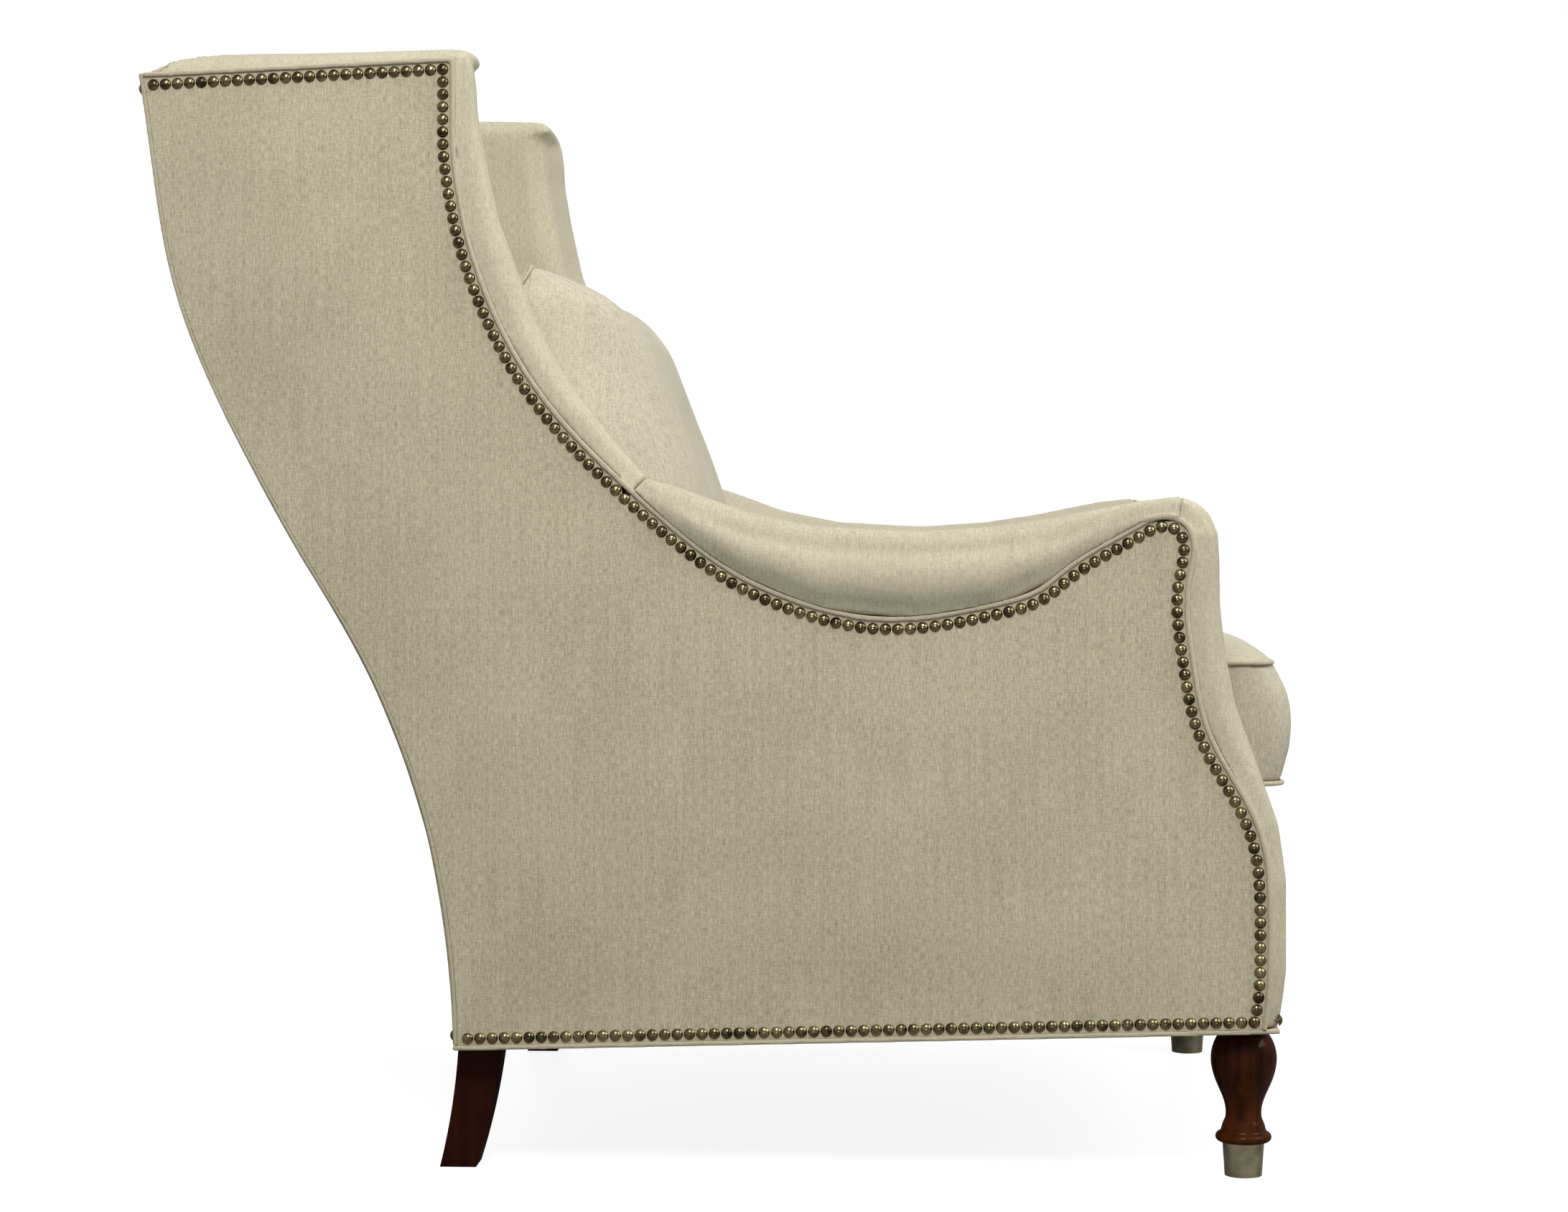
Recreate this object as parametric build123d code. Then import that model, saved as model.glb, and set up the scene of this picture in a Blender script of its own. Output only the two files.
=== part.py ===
from math import atan2, cos, degrees, hypot, radians, sin
import os
from build123d import *

os.makedirs("parts", exist_ok=True)

# All lengths are in mm. +Z is up, the chair faces -Y, and the sitter's right is -X.
# The origin is on the floor under the middle of the chair.

# Overall sizes
overall_width = 780.0  # across the outside panels at the front
overall_height = 1077.0  # floor to the crest of the wings
outline_depth = 1080.0  # scale of the side outlines, front to back
side_narrowing = 22.0  # how far each side comes in from front to back
side_thickness = 112.0  # outside panel to inside arm

# Layers of one side, from the outside in
panel_thickness = 6.0
board_thickness = 50.0
arm_bulge = 13.0  # the arm roll stands out this far past the panel
edge_radius = 22.0  # outer edge of wing, arm and arm front
inner_radius = 30.0  # inner edge of the same
arm_padding = 24.0  # over the arm rail
inner_fall = 12.0  # the rolls of wing and arm lie this much lower on their inner side
fall_fade = 110.0  # length over which an arm's fall comes in behind its front
board_width = 55.0  # posts and rails, seen from the side

# Welts and nails
welt_size = 4.8
welt_stand_out = 2.4  # past the panel's face
nail_setback = 9.4  # welt centre to nail centre
nail_head = 11.1  # across
nail_rise = 3.4
nail_pitch = 11.7
nail_shank = 1.8  # across
nail_length = 14.0  # under the head

# Back
back_thickness = 150.0  # outside back to inside back, level
back_crown = 13.0  # the outside back panel stands out this far at its middle
back_board = 30.0  # rails across the back
rail_height = 90.0
stay_rail_top = 410.0
web_width = 50.0
web_thickness = 1.5
web_count = 3

# Base and seat
deck_top = 362.0
deck_thickness = 36.0
base_board = 32.0  # thickness of the rails of the base
rail_top = 316.0  # of the front, side and back rails
stay_rail_low = 330.0
border_thickness = 24.0
block_leg = 80.0  # corner blocks, along each rail
block_z = 200.0
block_height = 40.0
screw_diameter = 5.0
screw_length = 75.0
dust_thickness = 1.2
spring_count = 5
spring_wire = 3.8
spring_half_width = 24.0
spring_bends = 24
clip_width = 16.0
clip_length = 22.0
clip_thickness = 5.0

# Seat cushion
seat_front = -545.0  # Y of its front welt
seat_rear = 129.0
seat_side_gap = 3.0  # between the cushion and an inside arm
seat_taper = 15.0  # each side comes in this far towards the back
seat_height = 125.0  # bottom welt to top welt
seat_crown = 24.0
seat_corner = 26.0
cushion_swell = 11.0  # boxing stands out between the welts
cushion_waist = 7.0  # sides pull in between the corners
cover_thickness = 10.0  # cover with its fibre wrap, around the core
cushion_gap = 0.5

# Back cushion
lean_angle = 26.0  # of the cushion's back, degrees from upright
front_lean = 20.0  # of its front
back_side_gap = 5.0  # each side is this far inside the seat cushion's rear end
back_cushion_top = 872.0  # Z of the front welt's top edge
back_cushion_welt_y = 193.0  # Y of the same edge
back_cushion_tall = 440.0
back_cushion_thick = 165.0
back_cushion_crown = 86.0
back_cushion_corner = 34.0
seat_contact_z = 509.0  # where the two cushions meet, at the front of the joint
seat_contact_slope = 0.12

# Front legs, turned
leg_inset = 47.0  # of its axis from the side
front_leg_y = -500.6
ferrule_height = 32.4
ferrule_top = 39.6
ferrule_foot = 35.2
ferrule_wall = 1.5
ring_diameter = 53.0
ring_height = 9.0
lower_neck = 34.6
vase_diameter = 61.8
upper_neck = 43.6
flange_diameter = 57.0
leg_bolt = 8.0
leg_bolt_length = 70.0
# Heights up the turned leg, as shares from the floor to the base
leg_share = {"fillet": 0.335, "neck_low": 0.37, "neck_high": 0.44, "vase": 0.785, "neck": 0.925,
             "flange": 0.965}

# Back legs, sabre
back_leg_inset = 45.0  # of its outer face from the side
back_leg_thick = 38.0
back_leg_foot = 35.0  # along Y at the floor
back_leg_top = 43.0  # along Y at the base
back_leg_rear = 249.0  # Y of its rear edge at the base
back_leg_kick = 19.0  # its foot reaches this far behind that
sabre_share = 0.32  # how much of the kick is reached at half height

# Outlines in the side plane: shares of outline_depth and overall_height
welt_wing_shares = [(0.2297, 0.9805), (0.2298, 0.9286), (0.2288, 0.8920), (0.2248, 0.8631),
                    (0.2184, 0.8303), (0.2073, 0.7931), (0.1894, 0.7493), (0.1667, 0.7077),
                    (0.1310, 0.6604), (0.0815, 0.6103)]
welt_arm_shares = [(0.0815, 0.6103), (0.0344, 0.5686), (-0.0173, 0.5312), (-0.0740, 0.5060),
                   (-0.1360, 0.4920), (-0.1981, 0.4950), (-0.2478, 0.5052), (-0.2822, 0.5171),
                   (-0.3005, 0.5317), (-0.3353, 0.5550), (-0.3666, 0.5724), (-0.3897, 0.5809)]
welt_front_shares = [(-0.3897, 0.5809), (-0.4087, 0.5728), (-0.4149, 0.5526), (-0.4109, 0.5254),
                     (-0.4092, 0.5070), (-0.4110, 0.4791), (-0.4160, 0.4454), (-0.4240, 0.4060),
                     (-0.4392, 0.3707), (-0.4606, 0.3344), (-0.4765, 0.2933), (-0.4814, 0.2512),
                     (-0.4819, 0.2042), (-0.4809, 0.1663), (-0.4770, 0.1350)]
crest_wing_shares = [(0.2167, 0.9810), (0.2144, 0.9759), (0.2117, 0.9601), (0.2102, 0.9359),
                     (0.2037, 0.8960), (0.1911, 0.8384), (0.1782, 0.8022), (0.1574, 0.7474),
                     (0.1265, 0.6933), (0.0878, 0.6442), (0.0611, 0.6156), (0.0300, 0.5900)]
crest_arm_shares = [(0.1000, 0.6590), (0.0878, 0.6442), (0.0611, 0.6156), (0.0317, 0.6058),
                    (-0.0249, 0.5853), (-0.0884, 0.5726), (-0.1796, 0.5688), (-0.2398, 0.5720),
                    (-0.3043, 0.5822), (-0.3681, 0.5942), (-0.4037, 0.5984)]
crest_front_shares = [(-0.4037, 0.5984), (-0.4194, 0.5924), (-0.4296, 0.5840), (-0.4370, 0.5664),
                      (-0.4384, 0.5422), (-0.4387, 0.5088), (-0.4442, 0.4605), (-0.4526, 0.4178),
                      (-0.4731, 0.3621), (-0.4898, 0.3138), (-0.4967, 0.2637), (-0.4969, 0.1838),
                      (-0.4926, 0.1527), (-0.4889, 0.1356)]
rear_shares = [(0.2278, 0.1110), (0.2300, 0.1721), (0.2398, 0.2521), (0.2579, 0.3301),
               (0.2769, 0.3851), (0.3108, 0.4608), (0.3608, 0.5445), (0.4056, 0.6251),
               (0.4531, 0.7230), (0.4768, 0.7950), (0.4919, 0.8833), (0.5037, 0.9694)]
top_rear_share = 0.9694  # height of the top welt at the rear corner
top_front_share = 0.9805  # and at the front corner
bottom_front_share = 0.1340  # height of the base welt at the front
bottom_rear_share = 0.1110  # and at the rear
cover_seam_shares = [(0.0778, 0.5952), (0.0611, 0.6156)]  # between wing and arm covers

# Rolls and crowns, as shares
join_tolerance = 0.0001
bulge_share = 0.45  # height of the arm roll's widest place
least_bulge_share = 0.05
mitre_fall_share = 0.4
arm_corner_share = 0.45
top_roll_shares = [(0.1, 0.33), (0.31, 0.6), (0.67, 0.85), (0.89, 1.0)]  # depth and rise of the top roll
top_inner_share = 0.3
# Places along the wing's top and how full its roll is there
top_rise_shares = [(0.2167, 0.3), (0.2194, 0.7), (0.2259, 0.93), (0.2370, 1.0), (0.5037, 1.0)]
wing_slab_low_share = 0.45
back_crown_shares = [(-1.0, 0.0), (-0.5, 0.75), (0.0, 1.0), (0.5, 0.75), (1.0, 0.0)]
back_tall_shares = [0.0, 0.6, 1.0, 1.0, 1.0, 1.0, 0.9, 0.7, 0.5, 0.3, 0.15, 0.0]
vase_shares = (0.7, 0.75, 0.45)
# Seat cushion boxing: level, then how far its sides and ends are set in, in swells
seat_box_shares = [(0.0, 0.75, 0.9), (0.03, 0.0, 0.0), (0.25, -0.14, -0.73), (0.5, -0.2, -1.0),
                   (0.75, -0.14, -0.6), (0.97, 0.0, 0.9)]
# Seat cushion crown: insets of the sides and of the front as shares of the half width, and rise
seat_crown_shares = [(0.038, 0.012, 0.185), (0.154, 0.038, 0.444), (0.346, 0.088, 0.704),
                     (0.577, 0.165, 0.889), (0.827, 0.300, 1.0)]
# Back cushion: depth and inset as shares of its thickness, then its front crown
back_box_shares = [(0.0, 0.085), (0.06, 0.0), (0.94, 0.0)]
back_front_shares = [(0.020, 0.13), (0.070, 0.37), (0.155, 0.65), (0.235, 0.81), (0.400, 0.95),
                     (0.580, 1.0)]
bite = 1 - cos(radians(45))

taper = degrees(atan2(side_narrowing, outline_depth))
back_seam = back_cushion_thick * back_box_shares[-1][0]  # from its back to its front welt
front_y = -outline_depth / 2
half_width = overall_width / 2
leg_x = half_width - leg_inset
back_leg_outer = half_width - back_leg_inset
seat_half_front = half_width - side_thickness - seat_side_gap
seat_half_rear = seat_half_front - seat_taper
back_cushion_half = seat_half_rear - back_side_gap


def outline(shares):
    return [(y * outline_depth, z * overall_height) for y, z in shares]


def between(points, t, key):
    """Read the other coordinate of an outline where its coordinate number key is t."""
    pairs = sorted((p[key], p[1 - key]) for p in points)
    if t <= pairs[0][0]:
        return pairs[0][1]
    for (a, va), (b, vb) in zip(pairs, pairs[1:]):
        if t <= b:
            return va + (vb - va) * (t - a) / (b - a)
    return pairs[-1][1]


def offset_line(points, distance):
    """Move an open outline to the left of its own direction, seen with Y right and Z up."""
    moved = []
    for i, (y, z) in enumerate(points):
        y0, z0 = points[max(i - 1, 0)]
        y1, z1 = points[min(i + 1, len(points) - 1)]
        run = hypot(y1 - y0, z1 - z0)
        moved.append((y - (z1 - z0) / run * distance, z + (y1 - y0) / run * distance))
    return moved


def slab(curves, d, thickness):
    """Extrude a closed outline of the side plane from depth d. Each curve is a list of points."""
    edges = []
    for curve, following in zip(curves, curves[1:] + curves[:1]):
        points = [Vector(d, y, z) for y, z in curve]
        edges.append(Edge.make_spline(points) if len(curve) > 2 else Edge.make_line(*points))
        end, start = points[-1], Vector(d, *following[0])
        if (end - start).length > join_tolerance:
            edges.append(Edge.make_line(end, start))
    return Solid.extrude(Face(Wire(edges)), Vector(thickness, 0, 0))


def wire_of(steps, lift):
    """Close a wire of lines and arcs: a step is a corner, or an arc's middle and its end."""
    points = [[lift(*p) for p in step] for step in steps]
    edges, here = [], points[-1][-1]
    for step in points:
        if (step[-1] - here).length > join_tolerance:
            edges.append(Edge.make_three_point_arc(here, *step) if len(step) == 2
                         else Edge.make_line(here, step[0]))
            here = step[-1]
    return Wire(edges)


def place(shape, side):
    """Put a shape made flat in the side plane on the chair: side -1 is right, +1 is left."""
    turn = Location((-half_width, front_y, 0), (0, 0, -taper))
    shape = shape.moved(Location((0, -front_y, 0))).moved(turn)
    return shape if side < 0 else shape.mirror(Plane.YZ)


def side_cutter(depth):
    """Two blocks that hold everything outside a given depth of the sides."""
    tall = 2 * overall_height
    box = Solid.make_box(overall_width, tall + outline_depth, 2 * tall)
    box = box.moved(Location((depth - overall_width, -tall / 2 - outline_depth / 2, -tall)))
    return [place(box, side) for side in (-1, 1)]


def cut(shape, cutters):
    return max(shape.cut(*cutters).solids(), key=lambda s: s.volume)


def joined(shapes):
    return max(shapes[0].fuse(*shapes[1:]).solids(), key=lambda s: s.volume)


def block(low, high):
    return Solid.make_box(*[b - a for a, b in zip(low, high)]).moved(Location(low))


def save(name, shapes):
    shapes = shapes if isinstance(shapes, list) else [shapes]
    body = shapes[0] if len(shapes) == 1 else Compound(children=shapes)
    export_step(body, f"parts/{name}.step")
    return body


# Lines in the side plane that the pieces share
wing_welt = outline(welt_wing_shares)
arm_welt = outline(welt_arm_shares)
front_welt = outline(welt_front_shares)
welt_line = wing_welt + arm_welt[1:] + front_welt[1:]
top_welt = [(rear_shares[-1][0] * outline_depth, top_rear_share * overall_height), wing_welt[0]]
seam_low, seam_high = outline(cover_seam_shares)
seam_line = offset_line(welt_line, -welt_size / 2)
wing_seam = seam_line[:len(wing_welt)]
front_seam = seam_line[len(wing_welt) + len(arm_welt) - 2:]
arm_seam = seam_line[len(wing_welt) - 3:len(wing_welt) + len(arm_welt)]
wing_crest = outline(crest_wing_shares)
arm_crest = outline(crest_arm_shares)
front_crest = outline(crest_front_shares)
rear_line = outline(rear_shares)
rear_edge = [(y, z + welt_size / 2 * ((y < rear_line[1][0]) - (y > rear_line[-2][0]))) for y, z in rear_line]
base_line = [(front_crest[-1][0] - welt_stand_out, bottom_front_share * overall_height),
             (rear_line[0][0], bottom_rear_share * overall_height)]
mitre_y = crest_arm_shares[-1][0] * outline_depth
inner_depth = panel_thickness + board_thickness
edge_reach = inner_radius + edge_radius / 2
slab_reach = inner_radius + edge_radius / 4


def base_z(y):
    return between(base_line, y, 0)


def rear_y(z):
    return between(rear_line, z, 1)


def top_seam_z(y):
    return between(top_welt, y, 0) + welt_size / 2


# Outside panels, welts and nails of the sides
def outside_side():
    edge = offset_line(welt_line, welt_size / 2)
    edge[0] = (edge[0][0], between(top_welt, edge[0][0], 0) - welt_size / 2)
    edge[-1] = (edge[-1][0], base_z(edge[-1][0]) + welt_size / 2)
    return slab([rear_edge, edge], 0, panel_thickness)


def side_welt():
    run = slab([offset_line(welt_line, -welt_size / 2), offset_line(welt_line, welt_size / 2)[::-1]],
               -welt_stand_out, panel_thickness + welt_stand_out)
    (y0, z0), (y1, z1) = top_welt
    corner = (y1 - welt_size / 2, z1 + (z0 - z1) / (y1 - y0) * welt_size / 2)
    low, high = [[(y, z + rise) for y, z in (top_welt[0], corner)] for rise in (-welt_size / 2, welt_size / 2)]
    top = slab([low, high[::-1]], -welt_stand_out, panel_thickness + welt_stand_out)
    return joined([run, top])


def nail():
    """One nail at the origin: its shank runs along +X, and its head stands out towards -X."""
    head, shank, tip = nail_head / 2, nail_shank / 2, nail_length - nail_shank
    dome = (nail_rise ** 2 + head ** 2) / (2 * nail_rise)
    half_angle = atan2(head, dome - nail_rise) / 2
    middle = Vector(dome - nail_rise - dome * cos(half_angle), dome * sin(half_angle), 0)
    edges = [Edge.make_three_point_arc(Vector(-nail_rise, 0, 0), middle, Vector(0, head, 0))]
    corners = [(0, head), (0, shank), (tip, shank), (nail_length, 0), (-nail_rise, 0)]
    for a, b in zip(corners, corners[1:]):
        edges.append(Edge.make_line(Vector(*a, 0), Vector(*b, 0)))
    return Solid.revolve(Face(Wire(edges)), 360, Axis.X)


def along(points, pitch, skip_first=False):
    """Places at an even pitch along an outline, ends included."""
    points = [Vector(0, y, z) for y, z in points]
    path = Edge.make_spline(points) if len(points) > 2 else Edge.make_line(*points)
    count = round(path.length / pitch)
    return [path @ (i / count) for i in range(1 if skip_first else 0, count + 1)]


def side_nail_places():
    line = offset_line(welt_line, nail_setback)
    corner = (line[0][0], top_welt[1][1] - nail_setback)
    rear = (rear_line[-1][0] - nail_setback, between(top_welt, rear_line[-1][0], 0) - nail_setback)
    low = (line[-1][0], base_z(line[-1][0]) + nail_setback)
    back = (rear_line[0][0] - nail_setback, base_z(rear_line[0][0]) + nail_setback)
    line = [corner] + line[1:-1] + [low]
    return (along([rear, corner], nail_pitch) + along(line, nail_pitch, True)
            + along([low, back], nail_pitch, True))


# Covers of the wing, the arm and the arm front
def edge_section(z, crest, seam):
    """Level slice through the rolled front edge of a wing or an arm."""
    y0, y1 = between(crest, z, 1), between(seam, z, 1)
    y2, y3 = y0 + edge_reach + inner_fall, y0 + inner_fall
    steps = [[(edge_radius * bite, y0 + (y1 - y0) * bite), (edge_radius, y0)],
             [(side_thickness - inner_radius, y3)],
             [(side_thickness - inner_radius * bite, y3 + inner_radius * bite),
              (side_thickness, y3 + inner_radius)],
             [(side_thickness, y2)], [(inner_depth, y2)], [(inner_depth, y1)], [(0, y1)]]
    return wire_of(steps, lambda d, y: Vector(d, y, z))


def top_section(y, rise):
    """Upright slice across the roll along the top of a wing."""
    low = top_seam_z(y)
    lift = (overall_height - low) * rise
    steps = [[(depth * side_thickness, low + lift * share)] for depth, share in top_roll_shares]
    steps += [[(side_thickness, low + lift * top_inner_share)], [(side_thickness, low)], [(0, low)]]
    return wire_of(steps, lambda d, z: Vector(d, y, z))


def mitre(keep_wing):
    """The space behind, or in front of, the upright mitre between a wing's top roll and the back's."""
    rear = rear_line[-1][0]
    corner, inner = (0, rear), (side_thickness, rear - back_thickness)
    far = [(side_thickness, 2 * rear), (0, 2 * rear)] if keep_wing else [(side_thickness, 0), (0, 0)]
    face = Face(Wire.make_polygon([Vector(d, y, rear_line[-1][1]) for d, y in [corner, inner] + far]))
    return Solid.extrude(face, Vector(0, 0, overall_height))


def arm_section(y):
    """Upright slice through the arm's roll, above its rail."""
    top, seam = between(arm_crest, y, 0), between(arm_seam, y, 0)
    rail = top - arm_padding
    corner = min(edge_radius, (top - seam) * arm_corner_share)
    tall = top - corner - seam
    bulge = arm_bulge * max(least_bulge_share, min(1.0, tall / (2 * arm_padding)))
    inner_top = top - inner_fall * min(1, mitre_fall_share + (y - mitre_y) / fall_fade)
    low = min(top, seam_high[1]) - 2 * inner_radius
    steps = [[(-bulge, seam + tall * bulge_share), (0, top - corner)],
             [(corner * bite, top - corner * bite), (corner, top)],
             [(side_thickness - inner_radius, inner_top)],
             [(side_thickness - inner_radius * bite, inner_top - inner_radius * bite),
              (side_thickness, inner_top - inner_radius)],
             [(side_thickness, low)], [(inner_depth, low)], [(inner_depth, rail)],
             [(panel_thickness, rail)], [(panel_thickness, seam)], [(0, seam)]]
    return wire_of(steps, lambda d, z: Vector(d, y, z))


def seam_cutter(keep_wing):
    """Half space on one side of the slanting seam where wing and arm covers meet."""
    (y0, z0), (y1, z1) = seam_low, seam_high
    run = hypot(y1 - y0, z1 - z0)
    uy, uz = (y1 - y0) / run * outline_depth, (z1 - z0) / run * outline_depth
    low, high = (y0 - uy, z0 - uz), (y1 + uy, z1 + uz)
    turn = 1 if keep_wing else -1
    back = [(y - uz * turn, z + uy * turn) for y, z in (high, low)]
    return slab([[low, high], back], -side_thickness, 3 * side_thickness)


def inside_wing():
    levels = [z for _, z in reversed(wing_crest)] + [top_seam_z(wing_seam[0][0])]
    band = Solid.make_loft([edge_section(z, wing_crest, wing_seam) for z in levels], ruled=True)
    front = [(y + slab_reach, z) for y, z in wing_crest]
    front[0] = (front[0][0], top_seam_z(front[0][0]))
    rear = [(y - back_thickness, z) for y, z in rear_line if z > wing_slab_low_share * overall_height]
    rear[-1] = (rear[-1][0], top_seam_z(rear[-1][0]))
    inside = slab([front, rear], inner_depth, side_thickness - inner_depth)
    stations = [(y * outline_depth, rise) for y, rise in top_rise_shares]
    roll = Solid.make_loft([top_section(y, rise) for y, rise in stations], ruled=True)
    top_y, split = rear_line[-1][0], rear[-1]
    thin, foot = (top_y, top_seam_z(top_y)), (split[0], top_seam_z(top_y))
    wedge = slab([[thin, split], [split, foot], [foot, thin]], inner_depth, side_thickness - inner_depth)
    top = cut(joined([roll, wedge]), [mitre(True)])
    return cut(joined([band, inside, top]), [seam_cutter(True)])


def inside_arm():
    roll = Solid.make_loft([arm_section(y) for y, _ in arm_crest], ruled=True)
    top = [(y, z - 3 * inner_radius / 2) for y, z in arm_crest if y <= seam_high[0]]
    curve = [(y + edge_reach, z) for y, z in front_crest if y + edge_reach < mitre_y and deck_top < z]
    curve.append((front_face_y(deck_top) + edge_reach, deck_top))
    rear = [(rear_y(deck_top) - back_thickness, deck_top)]
    rear += [(y - back_thickness, z) for y, z in rear_line if deck_top < z < seam_low[1]]
    rear.append((rear_y(seam_low[1]) - back_thickness, top[0][1]))
    inside = slab([[top[-1], (mitre_y, curve[0][1])], curve, rear, top], inner_depth,
                  side_thickness - inner_depth)
    return joined([cut(shape, [seam_cutter(False)]) for shape in (roll, inside)])


def arm_front():
    levels = [z for _, z in front_crest][::-1]
    levels[0] = base_z(front_y) + welt_size / 2
    band = Solid.make_loft([edge_section(z, front_crest, front_seam) for z in levels], ruled=True)
    behind = block((-side_thickness, mitre_y, 0), (2 * side_thickness, outline_depth, 2 * overall_height))
    return cut(band, [behind])


# Hardwood frame of the sides
def front_post():
    edge = front_seam[2:]
    edge = edge[:-1] + [(edge[-1][0], base_z(edge[-1][0]) + welt_size / 2)]
    back = offset_line(edge, board_width)
    back[0], back[-1] = (back[0][0], edge[0][1]), (back[-1][0], edge[-1][1])
    return slab([edge, back[::-1]], panel_thickness, board_thickness)


def wing_post():
    edge = wing_seam
    return slab([edge, offset_line(edge, board_width)[::-1]], panel_thickness, board_thickness)


def arm_rail():
    """The rail under the arm's roll: it stands on the front post and butts against the wing post."""
    top = [(y, z - arm_padding) for y, z in arm_crest[1:]]
    foot = front_seam[2][1]
    low = [(y, max(z, foot if y < front_seam[2][0] + board_width else 0))
           for y, z in offset_line(arm_welt, nail_setback + nail_head)]
    low[-1] = front_seam[2]
    rail = slab([top, front_seam[1:3], low[::-1]], panel_thickness, board_thickness)
    return cut(rail, [wing_post(), front_post()])


def back_post():
    front = offset_line(rear_line, board_width)
    rear = list(rear_line)
    for line in (front, rear):
        line[0] = (line[0][0], base_z(line[0][0]) + welt_size / 2)
        line[-1] = (line[-1][0], top_seam_z(line[-1][0]))
    return slab([rear, front[::-1]], panel_thickness, board_thickness)


def wing_top_rail():
    y0, y1 = wing_seam[0][0], rear_line[-1][0]
    top = [(y, top_seam_z(y)) for y in (y0, y1)]
    low = [(y, z - board_width) for y, z in top]
    return cut(slab([top, low[::-1]], panel_thickness, board_thickness), [wing_post(), back_post()])


def side_rail():
    y0, y1 = front_seam[-1][0], rear_line[0][0]
    low = [(y, base_z(y) + welt_size / 2) for y in (y0, y1)]
    top = [(y, rail_top) for y in (y0, y1)]
    return cut(slab([low, top[::-1]], panel_thickness, board_thickness), [front_post(), back_post()])


# Pieces that run across between the sides
def across(curves, trim, extra=()):
    whole = slab(curves, -half_width, overall_width)
    return cut(whole, side_cutter(trim) + list(extra))


def band_along_rear(low, high, near, far):
    """Outline between two lines that follow the rear, a given way in front of it."""
    lines = []
    for depth in (near, far):
        inside = [p for p in rear_line if low < p[1] < high]
        line = [(rear_y(low), low)] + inside + [(rear_y(high), high)]
        lines.append([(y - depth, z) for y, z in line])
    return [lines[0], lines[1][::-1]]


def back_rails():
    base = base_z(rear_line[0][0]) + welt_size / 2
    crest = top_seam_z(rear_line[-1][0])
    return {"back_rail": across(band_along_rear(base, rail_top, 0, back_board), inner_depth),
            "stay_rail": across(band_along_rear(stay_rail_low, stay_rail_top, 0, back_board), inner_depth),
            "crest_rail": across(band_along_rear(crest - rail_height, crest, 0, back_board), inner_depth)}


def front_face_y(z):
    return between(front_crest, z, 1)


def front_rail():
    rear = front_face_y(rail_top) + border_thickness + base_board
    low = base_z(front_y) + welt_size / 2
    box = block((-half_width, rear - base_board, low), (half_width, rear, rail_top))
    return cut(box, side_cutter(inner_depth)), rear


def front_border():
    low = base_z(front_y) + welt_size / 2
    face = [(y, z) for y, z in front_crest if low < z < deck_top]
    face = [(front_face_y(deck_top), deck_top)] + face + [(front_face_y(low), low)]
    back = front_rail()[1] - base_board
    return across([face, [(back, low), (back, deck_top)]], side_thickness)


def seat_deck():
    front = front_rail()[1] - base_board
    low = deck_top - deck_thickness
    rear = [(rear_y(z) - back_board, z) for z in (low, deck_top)]
    return across([[(front, low), rear[0]], [rear[1], (front, deck_top)]], inner_depth)


def inside_back():
    """The padded inside back, with the roll that goes over the crest rail."""
    crest, top_y = top_seam_z(rear_line[-1][0]), rear_line[-1][0]
    face = [(rear_y(deck_top) - back_thickness, deck_top)]
    face += [(y - back_thickness, z) for y, z in rear_line if deck_top < z]
    face[-1] = (top_y - back_thickness, crest)
    back_low = back_board + web_thickness
    rear = [(rear_y(deck_top) - back_low, deck_top)]
    rear += [(y - back_low, z) for y, z in rear_line if deck_top < z < crest]
    rear[-1] = (top_y - back_low, crest)
    roll = [(top_y, crest)]
    roll += [(top_y - back_thickness * y, crest + (overall_height - crest) * z) for y, z in top_roll_shares]
    roll.append((top_y - back_thickness, crest + (overall_height - crest) * top_inner_share))
    body = across([face, rear[::-1]], inner_depth)
    sides = [place(mitre(False), side) for side in (-1, 1)]
    corners = [[a, b] for a, b in zip(roll, roll[1:])] + [[roll[-1], (roll[-1][0], crest)]]
    return joined([body, across(corners, 0, sides)])


def outside_back():
    """The outside back panel: it crowns out between its side welts, most at mid height."""
    slices = []
    for share, out in back_crown_shares:
        outer = [(y + welt_size + back_crown * out * tall, z)
                 for (y, z), tall in zip(rear_line, back_tall_shares)]
        inner = list(rear_line)
        for line in (outer, inner):
            line[0] = (line[0][0], base_z(line[0][0]) + welt_size / 2)
            line[-1] = (line[-1][0], line[-1][1] - welt_size / 2)
        x = share * half_width
        edges = [Edge.make_spline([Vector(x, y, z) for y, z in line]) for line in (inner, outer)]
        edges += [Edge.make_line(Vector(x, *inner[i]), Vector(x, *outer[i])) for i in (0, -1)]
        slices.append(Wire(edges))
    return cut(Solid.make_loft(slices, ruled=True), side_cutter(welt_size))


def back_welt():
    """Welts of the outside back: down both sides and along the top."""
    run = slab([rear_edge, [(y + welt_size, z) for y, z in rear_edge][::-1]], 0, welt_size)
    top_y, top_z = rear_line[-1]
    bar = block((-half_width, top_y, top_z - welt_size / 2), (half_width, top_y + welt_size,
                                                              top_z + welt_size / 2))
    return [place(run, -1), place(run, 1), cut(bar, side_cutter(0))]


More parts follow.
